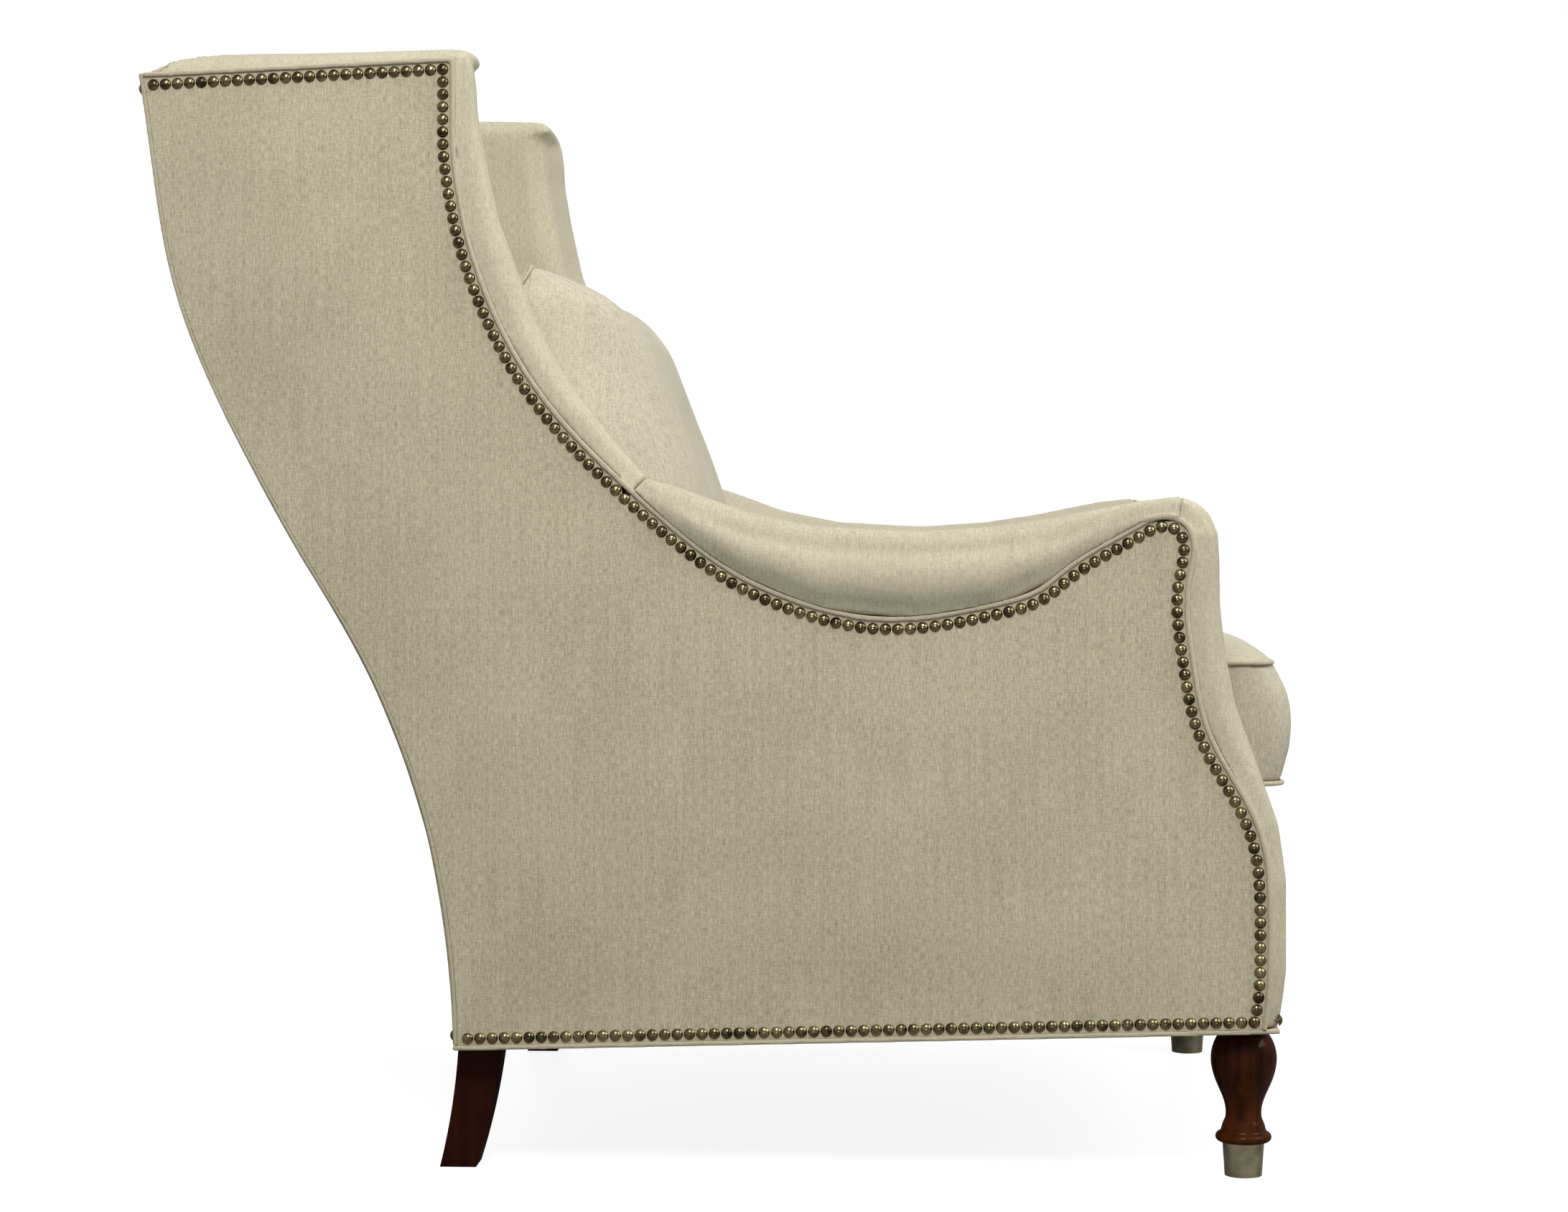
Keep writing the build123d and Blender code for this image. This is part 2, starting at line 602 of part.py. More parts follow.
def base_welt():
    """The welt round the whole bottom edge, mitred at its corners."""
    front = front_face_y(base_line[0][1]) - welt_stand_out
    rear = rear_line[0][0] + welt_size
    low = [(y, base_z(y) - welt_size / 2) for y in (front, rear)]
    high = [(y, z + welt_size) for y, z in low]
    outer = cut(slab([low, high[::-1]], -half_width, overall_width), side_cutter(-welt_stand_out))
    run = panel_thickness + welt_stand_out
    inside = slab([[(front + run, 0), (rear - run, 0)],
                   [(rear - run, overall_height), (front + run, overall_height)]],
                  -half_width, overall_width)
    core = cut(inside, side_cutter(panel_thickness))
    return cut(outer, [core])


def dust_cover(legs):
    front = front_rail()[1] - base_board
    rear = rear_line[0][0] - back_board
    top = [(y, base_z(y) + welt_size / 2) for y in (front, rear)]
    low = [(y, z - dust_thickness) for y, z in top]
    return across([low, top[::-1]], 2 * panel_thickness, legs)


def back_webs():
    """Upright straps between the stay rail and the crest rail."""
    crest = top_seam_z(rear_line[-1][0]) - rail_height / 2
    shape = band_along_rear(deck_top, crest, back_board, back_board + web_thickness)
    gap = 2 * (half_width - inner_depth) / (web_count + 1)
    return [slab(shape, gap * (i - (web_count - 1) / 2) - web_width / 2, web_width)
            for i in range(web_count)]


def corner_blocks():
    """Three-cornered blocks that brace the corners of the base, each held by two screws."""
    rails = back_rails()
    front = front_rail()[1]
    back = rear_y(block_z)
    blocks, screws = [], []
    for y, turn, hidden in ((front, 1, 0), (back, -1, back_board)):
        leg = inner_depth + block_leg + hidden
        points = [(-half_width, y), (leg - half_width, y), (-half_width, y + turn * leg)]
        face = Face(Wire.make_polygon([Vector(px, py, block_z) for px, py in points]))
        wedge = Solid.extrude(face, Vector(0, 0, block_height))
        blocks.append(cut(wedge, side_cutter(inner_depth) + [rails["back_rail"]]))
        x, start = inner_depth + block_leg / 3 - half_width, y + turn * (hidden + block_leg * 2 / 3)
        screw = Solid.make_cylinder(screw_diameter / 2, screw_length)
        low, high = block_z + block_height / 3, block_z + block_height * 2 / 3
        screws.append(screw.moved(Location((x, start, low), (90 * turn, 0, 0))))
        middle = y + turn * (hidden + block_leg / 3)
        screws.append(screw.moved(Location((x + block_leg / 3, middle, high), (0, -90, 0))))
    mirror = [b.mirror(Plane.YZ) for b in blocks]
    return blocks + mirror, screws + [s.mirror(Plane.YZ) for s in screws]


def spring(x, front, step):
    """One sinuous spring: straight runs across joined by half turns."""
    turn, height = step / 2, rail_top + clip_thickness / 2
    edges, here = [], Vector(x, front, height)
    for bend in range(spring_bends):
        side = 1 if bend % 2 == 0 else -1
        reach = Vector(x + side * (spring_half_width - turn), here.Y, height)
        far = reach + Vector(0, step, 0)
        edges.append(Edge.make_line(here, reach))
        edges.append(Edge.make_three_point_arc(reach, reach + Vector(side * turn, turn, 0), far))
        here = far
    edges.append(Edge.make_line(here, Vector(x, here.Y, height)))
    path = Wire(edges)
    profile = Face(Wire.make_circle(spring_wire / 2, Plane(origin=Vector(x, front, height), z_dir=(1, 0, 0))))
    return Solid.sweep(profile, path)


def seat_springs():
    """Sinuous springs, front to back, clipped on top of the front and back rails."""
    front = front_rail()[1] - base_board / 2
    rear = rear_y(rail_top) - back_board / 2
    gap = 2 * (half_width - inner_depth) / (spring_count + 1)
    springs, clips = [], []
    for i in range(spring_count):
        x = gap * (i - (spring_count - 1) / 2)
        springs.append(spring(x, front, (rear - front) / spring_bends))
        for y in (front, rear):
            clip = block((x - clip_width / 2, y - clip_length / 2, rail_top),
                         (x + clip_width / 2, y + clip_length / 2, rail_top + clip_thickness))
            clips.append(cut(clip, [springs[-1]]))
    return springs, clips


# Legs
def front_leg():
    """Turned leg about the Z axis: flange, neck, vase, lower neck, ring and foot."""
    top = base_z(front_leg_y) + welt_size
    h = {name: share * top for name, share in leg_share.items()}
    foot = ferrule_foot / 2 - ferrule_wall
    seat = ferrule_top / 2 - ferrule_wall
    ring_low, ring_high = ferrule_height, ferrule_height + ring_height
    ring, neck, vase = ring_diameter / 2, lower_neck / 2, vase_diameter / 2
    throat, flange = upper_neck / 2, flange_diameter / 2
    lines = [((0, ferrule_wall), (foot, ferrule_wall)), ((foot, ferrule_wall), (seat, ring_low)),
             ((seat, ring_low), (ring - ring_height / 2, ring_low))]
    edges = [Edge.make_line(Vector(a[0], 0, a[1]), Vector(b[0], 0, b[1])) for a, b in lines]
    edges.append(Edge.make_three_point_arc(Vector(ring - ring_height / 2, 0, ring_low),
                                           Vector(ring, 0, (ring_low + ring_high) / 2),
                                           Vector(ring - ring_height / 2, 0, ring_high)))
    rise = [(ring - ring_height / 2, ring_high), (neck + (ring - neck) / 4, h["fillet"]),
            (neck, h["neck_low"])]
    edges += [Edge.make_line(Vector(a[0], 0, a[1]), Vector(b[0], 0, b[1]))
              for a, b in zip(rise, rise[1:])]
    curve = [(neck, h["neck_low"]), (neck, h["neck_high"]),
             (neck + (vase - neck) * vase_shares[0], h["neck_high"] + (h["vase"] - h["neck_high"]) * 0.5),
             (vase, h["vase"]), (throat + (vase - throat) * vase_shares[1],
                                 h["vase"] + (h["neck"] - h["vase"]) * vase_shares[2]),
             (throat, h["neck"])]
    edges.append(Edge.make_spline([Vector(r, 0, z) for r, z in curve]))
    close = [(throat, h["neck"]), (flange, h["flange"]), (flange, top), (0, top), (0, ferrule_wall)]
    edges += [Edge.make_line(Vector(a[0], 0, a[1]), Vector(b[0], 0, b[1]))
              for a, b in zip(close, close[1:])]
    return Solid.revolve(Face(Wire(edges)), 360, Axis.Z)


def front_ferrule():
    """Tapered metal cup on the foot of a front leg."""
    foot, top = ferrule_foot / 2, ferrule_top / 2
    points = [(0, 0), (foot, 0), (top, ferrule_height), (top - ferrule_wall, ferrule_height),
              (foot - ferrule_wall, ferrule_wall), (0, ferrule_wall)]
    return Solid.revolve(Face(Wire.make_polygon([Vector(r, 0, z) for r, z in points])), 360, Axis.Z)


def back_leg():
    """Sabre leg, square in section, that sweeps back towards its foot."""
    top, y0 = base_z(back_leg_rear) + 2 * welt_size, back_leg_rear
    rear = [(y0, top), (y0 + back_leg_kick * sabre_share, top / 2), (y0 + back_leg_kick, 0)]
    front = [(y0 + back_leg_kick - back_leg_foot, 0),
             (y0 + back_leg_kick * sabre_share - (back_leg_foot + back_leg_top) / 2, top / 2),
             (y0 - back_leg_top, top)]
    return slab([rear, front], -back_leg_outer, back_leg_thick)


def leg_bolts():
    """Hanger bolts that hold the legs: half in the leg and half in the frame."""
    bolts = []
    for x, y in ((leg_x, front_leg_y), (back_leg_outer - back_leg_thick / 2, back_leg_rear - back_leg_top / 2)):
        bolt = Solid.make_cylinder(leg_bolt / 2, leg_bolt_length)
        bolts += [bolt.moved(Location((side * x, y, base_z(y) - leg_bolt_length / 2))) for side in (-1, 1)]
    return bolts


# Cushions
def cushion_outline(half_near, half_far, y_near, y_far, corner, waist, lift):
    """Four-sided outline with round corners whose sides pull in between the corners."""
    corners = [(-half_near, y_near), (half_near, y_near), (half_far, y_far), (-half_far, y_far)]
    steps = []
    for i, (x, y) in enumerate(corners):
        x0, y0 = corners[i - 1]
        x1, y1 = corners[(i + 1) % 4]
        a, b = hypot(x0 - x, y0 - y), hypot(x1 - x, y1 - y)
        enter = (x + (x0 - x) / a * corner, y + (y0 - y) / a * corner)
        leave = (x + (x1 - x) / b * corner, y + (y1 - y) / b * corner)
        middle = (x + (enter[0] + leave[0] - 2 * x) * bite, y + (enter[1] + leave[1] - 2 * y) * bite)
        side = ((x + x1) / 2 - (y1 - y) / b * waist, (y + y1) / 2 + (x1 - x) / b * waist)
        steps += [[middle, leave], [side, (x1 + (x - x1) / b * corner, y1 + (y - y1) / b * corner)]]
    return wire_of(steps, lift)


def seat_wire(z, side_inset, end_inset):
    """Level outline of the seat cushion, set in from its sides and from its ends."""
    waist = cushion_waist * (1 - side_inset / seat_half_rear)
    return cushion_outline(seat_half_front - side_inset, seat_half_rear - side_inset,
                           seat_front + end_inset, seat_rear - max(side_inset, 0),
                           seat_corner * (1 - side_inset / seat_half_rear), waist,
                           lambda x, y: Vector(x, y, z))


def seat_body(skin):
    """The seat cushion, or the same form made smaller all round by the cover's thickness."""
    wires = []
    for level, side, end in seat_box_shares:
        z = deck_top + cushion_gap + skin + (seat_height - 2 * skin) * level
        wires.append(seat_wire(z, cushion_swell * side + skin, cushion_swell * end + skin))
    for side, end, up in seat_crown_shares:
        z = deck_top + cushion_gap + seat_height - skin + seat_crown * up
        end_inset = seat_half_rear * end + cushion_swell * seat_box_shares[-1][-1] + skin
        wires.append(seat_wire(z, seat_half_rear * side + skin, end_inset))
    return Solid.make_loft(wires, ruled=True)


def seat_welts():
    """The two welt rings of the seat cushion."""
    rings = []
    for level, _, end in (seat_box_shares[1], seat_box_shares[-1]):
        z = deck_top + cushion_gap + seat_height * level - welt_size / 2
        outer, inner = [Solid.extrude(Face(seat_wire(z, inset, cushion_swell * end + inset)),
                                      Vector(0, 0, welt_size)) for inset in (-welt_stand_out, welt_stand_out)]
        rings.append(cut(outer, [inner]))
    return rings


def back_wire(w, inset):
    """Outline of the back cushion at one depth w, set in all round. Its front leans less than its back."""
    lean, behind = (front_lean if w > back_seam else lean_angle), back_seam - w
    turn = front_lean + (lean_angle - front_lean) * max(0, behind) / back_seam
    y = back_cushion_welt_y + behind * cos(radians(lean)) - back_cushion_tall * sin(radians(turn))
    z = back_cushion_top - behind * sin(radians(lean)) - back_cushion_tall * cos(radians(turn))
    waist = cushion_waist * (1 - inset / back_cushion_half)
    half = back_cushion_half - inset
    corner = back_cushion_corner * (1 - 2 * inset / back_cushion_tall)
    return cushion_outline(half, half, inset, back_cushion_tall - inset, corner, waist,
                           lambda x, v: Vector(x, v, 0)).moved(Location((0, y, z), (90 - turn, 0, 0)))


def below_back(gap):
    """All the space under the plane on which the back cushion stands."""
    near, far = -outline_depth / 2, outline_depth / 2
    heights = [seat_contact_z + gap - seat_contact_slope * y for y in (near, far)]
    return slab([[(near, heights[0]), (far, heights[1])], [(far, -heights[0]), (near, -heights[0])]],
                -half_width, overall_width)


def back_body(skin):
    """The back cushion, or the same form made smaller all round by the cover's thickness."""
    wires = []
    for level, inset in back_box_shares:
        w = skin + (back_cushion_thick - 2 * skin) * level
        wires.append(back_wire(w, back_cushion_thick * inset + skin))
    for inset, up in back_front_shares:
        w = back_cushion_thick * back_box_shares[-1][0] - skin + back_cushion_crown * up
        wires.append(back_wire(w, back_cushion_half * inset + skin))
    return cut(Solid.make_loft(wires, ruled=True), [below_back(cushion_gap + skin)])


def back_cushion_welts():
    rings = []
    for level in (back_box_shares[1][0], back_box_shares[-1][0]):
        w = back_cushion_thick * level - welt_size / 2
        outer, inner = [Face(back_wire(w, inset)) for inset in (-welt_stand_out, welt_stand_out)]
        outer, inner = [Solid.extrude(face, outer.normal_at() * welt_size) for face in (outer, inner)]
        rings.append(cut(outer, [inner, below_back(cushion_gap)]))
    return rings


# Nails in rows across the chair
def across_nails(y, z, tilt):
    """A level row of nails across the front or the back."""
    x = half_width - nail_setback - (y - front_y) / outline_depth * side_narrowing
    count = round(2 * x / nail_pitch)
    turn = 90 if y < 0 else -90
    row = []
    for i in range(count + 1):
        place_at = Location((2 * x * i / count - x, y, z), (0, 0, turn))
        row.append(nail().moved(Location((0, 0, 0), (0, tilt, 0))).moved(place_at))
    return row


def save_both(name, flat, cutters=()):
    """Save the right-hand piece and its mirror image on the left."""
    right = place(flat, -1)
    right = cut(right, cutters) if cutters else right
    save(f"{name}_right", right)
    save(f"{name}_left", right.mirror(Plane.YZ))


rails = back_rails()
rail, ring, inside = front_rail()[0], base_welt(), inside_back()
rails["back_rail"] = cut(rails["back_rail"], [ring])
deck = cut(seat_deck(), [rails["stay_rail"]])

# Sides
skins = {"outside_side": outside_side(), "side_welt": side_welt()}
boards = {"front_post": front_post(), "wing_post": wing_post(), "arm_rail": arm_rail(),
          "back_post": back_post(), "wing_top_rail": wing_top_rail(), "side_rail": side_rail()}
covers = {"inside_wing": inside_wing(), "inside_arm": inside_arm()}
covers["arm_front"] = cut(arm_front(), [covers["inside_arm"]])
boards = {name: cut(board, list(covers.values())) for name, board in boards.items()}
skins["outside_side"] = cut(skins["outside_side"], list(covers.values()))
cutters = {"outside_side": [ring], "side_welt": [ring], "arm_front": [rail, deck], "back_post": [ring, inside],
           "wing_top_rail": [inside]}
for name, shape in {**skins, **boards, **covers}.items():
    save_both(name, shape, cutters.get(name, ()))
for name, side in (("side_nails_right", -1), ("side_nails_left", 1)):
    save(name, [place(nail().moved(Location(spot)), side) for spot in side_nail_places()])

# Base, seat and back
save("front_rail", rail)
for name, shape in rails.items():
    save(name, shape)
save("front_border", front_border())
save("seat_deck", deck)
save("inside_back", inside)
save("outside_back", cut(outside_back(), [ring]))
save("back_welt", [cut(welt, [ring]) for welt in back_welt()])
save("base_welt", ring)
save("back_webbing", back_webs())
blocks, screws = corner_blocks()
save("corner_blocks", blocks)
save("block_screws", screws)
springs, clips = seat_springs()
save("seat_springs", springs)
save("spring_clips", clips)
low_z, high_z = base_z(front_y) + nail_setback, top_seam_z(rear_line[-1][0]) - nail_setback - welt_size
save("front_nails", across_nails(front_face_y(low_z), low_z, 0))
rear_z = base_z(rear_line[0][0]) + nail_setback + nail_shank
save("back_nails", across_nails(rear_y(rear_z) + welt_size, rear_z, 0)
     + across_nails(rear_y(high_z) + welt_size, high_z, 0))

# Legs
above = slab([[(y, base_z(y) + welt_size / 2) for y in (base_line[0][0], base_line[1][0] + welt_size)],
              [(y, overall_height) for y in (base_line[1][0] + welt_size, base_line[0][0])]],
             -half_width, overall_width)
turned = cut(front_leg().moved(Location((-leg_x, front_leg_y, 0))),
             [above, ring, rail, place(boards["side_rail"], -1), place(boards["front_post"], -1)])
sabre = cut(back_leg(), [above, ring, rails["back_rail"], place(boards["back_post"], -1)])
cup = front_ferrule().moved(Location((-leg_x, front_leg_y, 0)))
for name, shape in (("front_leg", turned), ("back_leg", sabre), ("front_ferrule", cup)):
    save(f"{name}_right", shape)
    save(f"{name}_left", shape.mirror(Plane.YZ))
save("leg_bolts", leg_bolts())
save("dust_cover", dust_cover([leg for s in (turned, sabre) for leg in (s, s.mirror(Plane.YZ))]))

# Cushions
for name, body, welts in (("seat_cushion", seat_body, seat_welts()),
                          ("back_cushion", back_body, back_cushion_welts())):
    core = body(cover_thickness)
    save(name, cut(body(0), [core] + welts))
    save(f"{name}_core", core)
    save(f"{name}_welts", welts)
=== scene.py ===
from math import cos, radians, sin, pi
import bpy
import bmesh
from mathutils import Matrix, Vector, noise
from mathutils.bvhtree import BVHTree
from mathutils.kdtree import KDTree


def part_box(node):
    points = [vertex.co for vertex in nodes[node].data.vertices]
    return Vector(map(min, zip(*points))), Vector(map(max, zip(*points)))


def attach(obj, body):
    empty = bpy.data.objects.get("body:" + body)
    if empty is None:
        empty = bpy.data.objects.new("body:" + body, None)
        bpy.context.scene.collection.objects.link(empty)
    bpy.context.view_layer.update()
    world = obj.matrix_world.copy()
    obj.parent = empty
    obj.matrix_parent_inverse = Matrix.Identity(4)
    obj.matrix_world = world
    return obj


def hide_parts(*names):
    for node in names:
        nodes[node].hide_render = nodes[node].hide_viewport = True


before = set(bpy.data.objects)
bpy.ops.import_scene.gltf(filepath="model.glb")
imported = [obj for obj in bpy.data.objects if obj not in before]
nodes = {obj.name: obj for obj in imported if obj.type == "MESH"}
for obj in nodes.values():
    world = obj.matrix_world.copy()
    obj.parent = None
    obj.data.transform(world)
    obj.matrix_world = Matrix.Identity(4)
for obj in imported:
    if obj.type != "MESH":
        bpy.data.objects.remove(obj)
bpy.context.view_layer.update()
scene = bpy.context.scene
scene.view_settings.view_transform = "Standard"
print("frame loaded:", len(nodes), "nodes")


# Camera at the photograph's viewing angle, with its turn and tilt in degrees
camera = {"place": (-3.36, -0.211, 0.6346), "yaw": 2.80, "pitch": 1.79, "lens": 72.86, "farEnd": 60}


def makeCamera():
    yaw, pitch = radians(camera["yaw"]), radians(camera["pitch"])
    data = bpy.data.cameras.new("camera")
    data.lens = camera["lens"]
    data.clip_end = camera["farEnd"]
    eye = bpy.data.objects.new("camera", data)
    eye.location = camera["place"]
    ahead = Vector((cos(pitch) * cos(yaw), cos(pitch) * sin(yaw), -sin(pitch)))
    eye.rotation_euler = ahead.to_track_quat("-Z", "Y").to_euler()
    scene.collection.objects.link(eye)
    scene.camera = eye


# Studio: a pale floor, a white world and soft lamps
studio = {
    "worldStrength": 0.45, "worldShown": 1.0,
    "floorSize": 24, "floorShade": 0.26, "floorGlow": 0.87, "floorRoughness": 0.5, "floorShine": 0.2,
    "lamps": [  # name, place, aim, size, watts
        ("overhead", (-0.3, -0.6, 3.3), (0, 0, 0.6), 2.4, 24),
        ("frontTop", (-1.0, -3.2, 2.4), (0, 0, 0.7), 1.8, 64),
        ("cameraSide", (-2.7, -0.2, 3.0), (-0.2, 0, 0.9), 1.0, 82),
    ],
}


def makeWorld():
    world = bpy.data.worlds.new("studio")
    world.use_nodes = True
    scene.world = world
    tree = world.node_tree
    background = tree.nodes["Background"]
    background.inputs["Color"].default_value = (1, 1, 1, 1)
    rays = tree.nodes.new("ShaderNodeLightPath")
    strength = tree.nodes.new("ShaderNodeMapRange")
    strength.inputs["To Min"].default_value = studio["worldStrength"]
    strength.inputs["To Max"].default_value = studio["worldShown"]
    tree.links.new(rays.outputs["Is Camera Ray"], strength.inputs["Value"])
    tree.links.new(strength.outputs["Result"], background.inputs["Strength"])


def makeLamps():
    for name, place, aim, size, watts in studio["lamps"]:
        lamp = bpy.data.lights.new(name, "AREA")
        lamp.size, lamp.energy = size, watts
        holder = bpy.data.objects.new(name, lamp)
        holder.location = place
        holder.rotation_euler = (Vector(aim) - Vector(place)).to_track_quat("-Z", "Y").to_euler()
        scene.collection.objects.link(holder)


def makeFloor():
    mesh = bpy.data.meshes.new("floor")
    sheet = bmesh.new()
    bmesh.ops.create_grid(sheet, x_segments=1, y_segments=1, size=studio["floorSize"] / 2)
    sheet.to_mesh(mesh)
    sheet.free()
    floor = bpy.data.objects.new("floor", mesh)
    scene.collection.objects.link(floor)
    paint, row, shader = newMaterial("paleFloor")
    shader.inputs["Base Color"].default_value = (*(studio["floorShade"],) * 3, 1)
    shader.inputs["Roughness"].default_value = studio["floorRoughness"]
    shader.inputs["Specular IOR Level"].default_value = studio["floorShine"]
    shader.inputs["Emission Color"].default_value = (1, 1, 1, 1)
    seen = row.add("ShaderNodeLightPath").outputs["Is Camera Ray"]
    row.feed(shader, {"Emission Strength": row.sum("MULTIPLY", seen, studio["floorGlow"])})
    mesh.materials.append(paint)


# Materials
class NodeRow:  # adds nodes to one tree and links them
    def __init__(self, tree):
        self.tree = tree

    def add(self, kind, inputs=(), **settings):
        node = self.tree.nodes.new(kind)
        for name, value in settings.items():
            setattr(node, name, value)
        for key, value in dict(inputs).items():
            if isinstance(value, bpy.types.NodeSocket):
                self.tree.links.new(value, node.inputs[key])
            else:
                node.inputs[key].default_value = value
        return node

    def sum(self, operation, a, b=0.0, c=0.0):
        return self.add("ShaderNodeMath", {0: a, 1: b, 2: c}, operation=operation).outputs[0]

    def noise(self, place, scale, detail):
        return self.add("ShaderNodeTexNoise", {"Vector": place, "Scale": scale, "Detail": detail}).outputs["Fac"]

    def blend(self, tone, dark, light):
        return self.add("ShaderNodeMix", {"Factor": tone, 6: dark, 7: light}, data_type="RGBA").outputs[2]

    def bump(self, height, strength, depth):
        inputs = {"Height": height, "Strength": strength, "Distance": depth}
        return self.add("ShaderNodeBump", inputs).outputs["Normal"]

    def objectPlace(self):
        return self.add("ShaderNodeTexCoord").outputs["Object"]

    def feed(self, shader, sockets):
        for name, socket in sockets.items():
            self.tree.links.new(socket, shader.inputs[name])


def newMaterial(name):
    material = bpy.data.materials.new(name)
    material.use_nodes = True
    row = NodeRow(material.node_tree)
    return material, row, row.tree.nodes["Principled BSDF"]


# Linen weave, shared by every cover: streaks are scale across and along, detail, weight
weave = {
    "warp": ((700, 130, 1), 2.0, 0.52), "weft": ((150, 760, 1), 2.0, 0.34), "slub": ((260, 9, 1), 1.0, 0.16),
    "streakRoughness": 0.6, "streakContrast": 2.4,
    "threadPitch": 0.00055, "threadTone": 0.14, "threadHeight": 0.5, "fleckHeight": 0.6,
    "mottle": 7.0, "mottleDetail": 2.0, "mottleTone": 0.5, "middle": 0.5,
}

weaveInputs = (
    ("Light Thread", "NodeSocketColor", (0.55, 0.52, 0.41, 1)),
    ("Dark Thread", "NodeSocketColor", (0.34, 0.31, 0.22, 1)),
    ("Turn", "NodeSocketFloat", 0.0), ("Over Arm", "NodeSocketFloat", 0.0), ("Slubs", "NodeSocketFloat", 1.0),
)


def clothPlace(row, turn, overArm):  # flat cloth coordinates, by the way that the surface faces
    place = row.add("ShaderNodeSeparateXYZ", {0: row.objectPlace()}).outputs
    facing = row.add("ShaderNodeVectorMath", {0: row.add("ShaderNodeNewGeometry").outputs["True Normal"]},
                     operation="ABSOLUTE").outputs[0]
    facing = row.add("ShaderNodeSeparateXYZ", {0: facing}).outputs
    toSide = row.sum("GREATER_THAN", facing[0], row.sum("MAXIMUM", facing[1], facing[2]))
    toTop = row.sum("GREATER_THAN", facing[2], row.sum("MAXIMUM", facing[0], facing[1]))
    turned = row.sum("MAXIMUM", toSide, row.sum("MULTIPLY", toTop, overArm))
    across = row.sum("MULTIPLY_ADD", row.sum("SUBTRACT", place[1], place[0]), turned, place[0])
    topAlong = row.sum("MULTIPLY_ADD", row.sum("SUBTRACT", place[0], place[1]), overArm, place[1])
    along = row.sum("MULTIPLY_ADD", row.sum("SUBTRACT", topAlong, place[2]), toTop, place[2])
    cloth = row.add("ShaderNodeCombineXYZ", {0: across, 1: along}).outputs[0]
    return row.add("ShaderNodeVectorRotate", {"Vector": cloth, "Angle": turn}, rotation_type="Z_AXIS").outputs[0]


def linenGroup():
    group = bpy.data.node_groups.new("linenWeave", "ShaderNodeTree")
    for name, kind, default in weaveInputs:
        group.interface.new_socket(name=name, in_out="INPUT", socket_type=kind).default_value = default
    group.interface.new_socket(name="Color", in_out="OUTPUT", socket_type="NodeSocketColor")
    group.interface.new_socket(name="Height", in_out="OUTPUT", socket_type="NodeSocketFloat")
    row = NodeRow(group)
    given = row.add("NodeGroupInput").outputs
    cloth = clothPlace(row, given["Turn"], given["Over Arm"])

    def scaled(scale):
        return row.add("ShaderNodeVectorMath", {0: cloth, 1: scale}, operation="MULTIPLY").outputs[0]

    def streaks(scale, detail, weight):
        inputs = {"Vector": scaled(scale), "Scale": 1.0, "Detail": detail, "Roughness": weave["streakRoughness"]}
        streak = row.add("ShaderNodeTexNoise", inputs).outputs["Fac"]
        contrast = weave["streakContrast"]
        return row.sum("MULTIPLY_ADD", streak, contrast, -contrast / 2), weight

    fleck = row.sum("MULTIPLY", *streaks(*weave["warp"]))
    for kind in ("weft", "slub"):
        fleck = row.sum("MULTIPLY_ADD", *streaks(*weave[kind]), fleck)
    thread = row.add("ShaderNodeSeparateXYZ", {0: scaled((pi / weave["threadPitch"],) * 3)}).outputs
    threads = row.sum("MULTIPLY", row.sum("SINE", thread[0]), row.sum("SINE", thread[1]))
    mottle = row.noise(cloth, weave["mottle"], weave["mottleDetail"])
    tone = row.sum("MULTIPLY_ADD", fleck, given["Slubs"], weave["middle"])
    tone = row.sum("MULTIPLY_ADD", threads, weave["threadTone"], tone)
    tone = row.sum("MULTIPLY_ADD", row.sum("SUBTRACT", mottle, weave["middle"]), weave["mottleTone"], tone)
    height = row.sum("MULTIPLY", fleck, weave["fleckHeight"])
    height = row.sum("MULTIPLY_ADD", threads, weave["threadHeight"], height)
    colour = row.blend(tone, given["Dark Thread"], given["Light Thread"])
    row.add("NodeGroupOutput", {"Color": colour, "Height": height})
    return group


linen = {  # name: light thread, dark thread, turn in degrees, over the arm, slubs
    "panelLinen": ((0.602, 0.550, 0.390), (0.323, 0.289, 0.191), 0, 0, 1.3),
    "borderLinen": ((0.580, 0.536, 0.390), (0.345, 0.315, 0.220), 0, 1, 1.1),
    "cushionLinen": ((0.575, 0.536, 0.402), (0.335, 0.309, 0.228), 0, 0, 1.3),
    "weltLinen": ((0.570, 0.521, 0.370), (0.335, 0.300, 0.200), 45, 0, 0.7),
}
linenFinish = {"roughness": 0.88, "shine": 0.25, "sheen": 0.12, "sheenRoughness": 0.5, "bump": 0.55,
               "depth": 0.0004}


def makeLinens():
    group, made = linenGroup(), {}
    for name, (light, dark, turn, overArm, slubs) in linen.items():
        made[name], row, shader = newMaterial(name)
        shader.inputs["Roughness"].default_value = linenFinish["roughness"]
        shader.inputs["Specular IOR Level"].default_value = linenFinish["shine"]
        shader.inputs["Sheen Weight"].default_value = linenFinish["sheen"]
        shader.inputs["Sheen Roughness"].default_value = linenFinish["sheenRoughness"]
        cloth = row.add("ShaderNodeGroup", node_tree=group)
        values = {"Light Thread": (*light, 1), "Dark Thread": (*dark, 1), "Turn": radians(turn),
                  "Over Arm": overArm, "Slubs": slubs}
        for socket, value in values.items():
            cloth.inputs[socket].default_value = value
        bump = row.bump(cloth.outputs["Height"], linenFinish["bump"], linenFinish["depth"])
        row.feed(shader, {"Base Color": cloth.outputs["Color"], "Normal": bump})
    return made


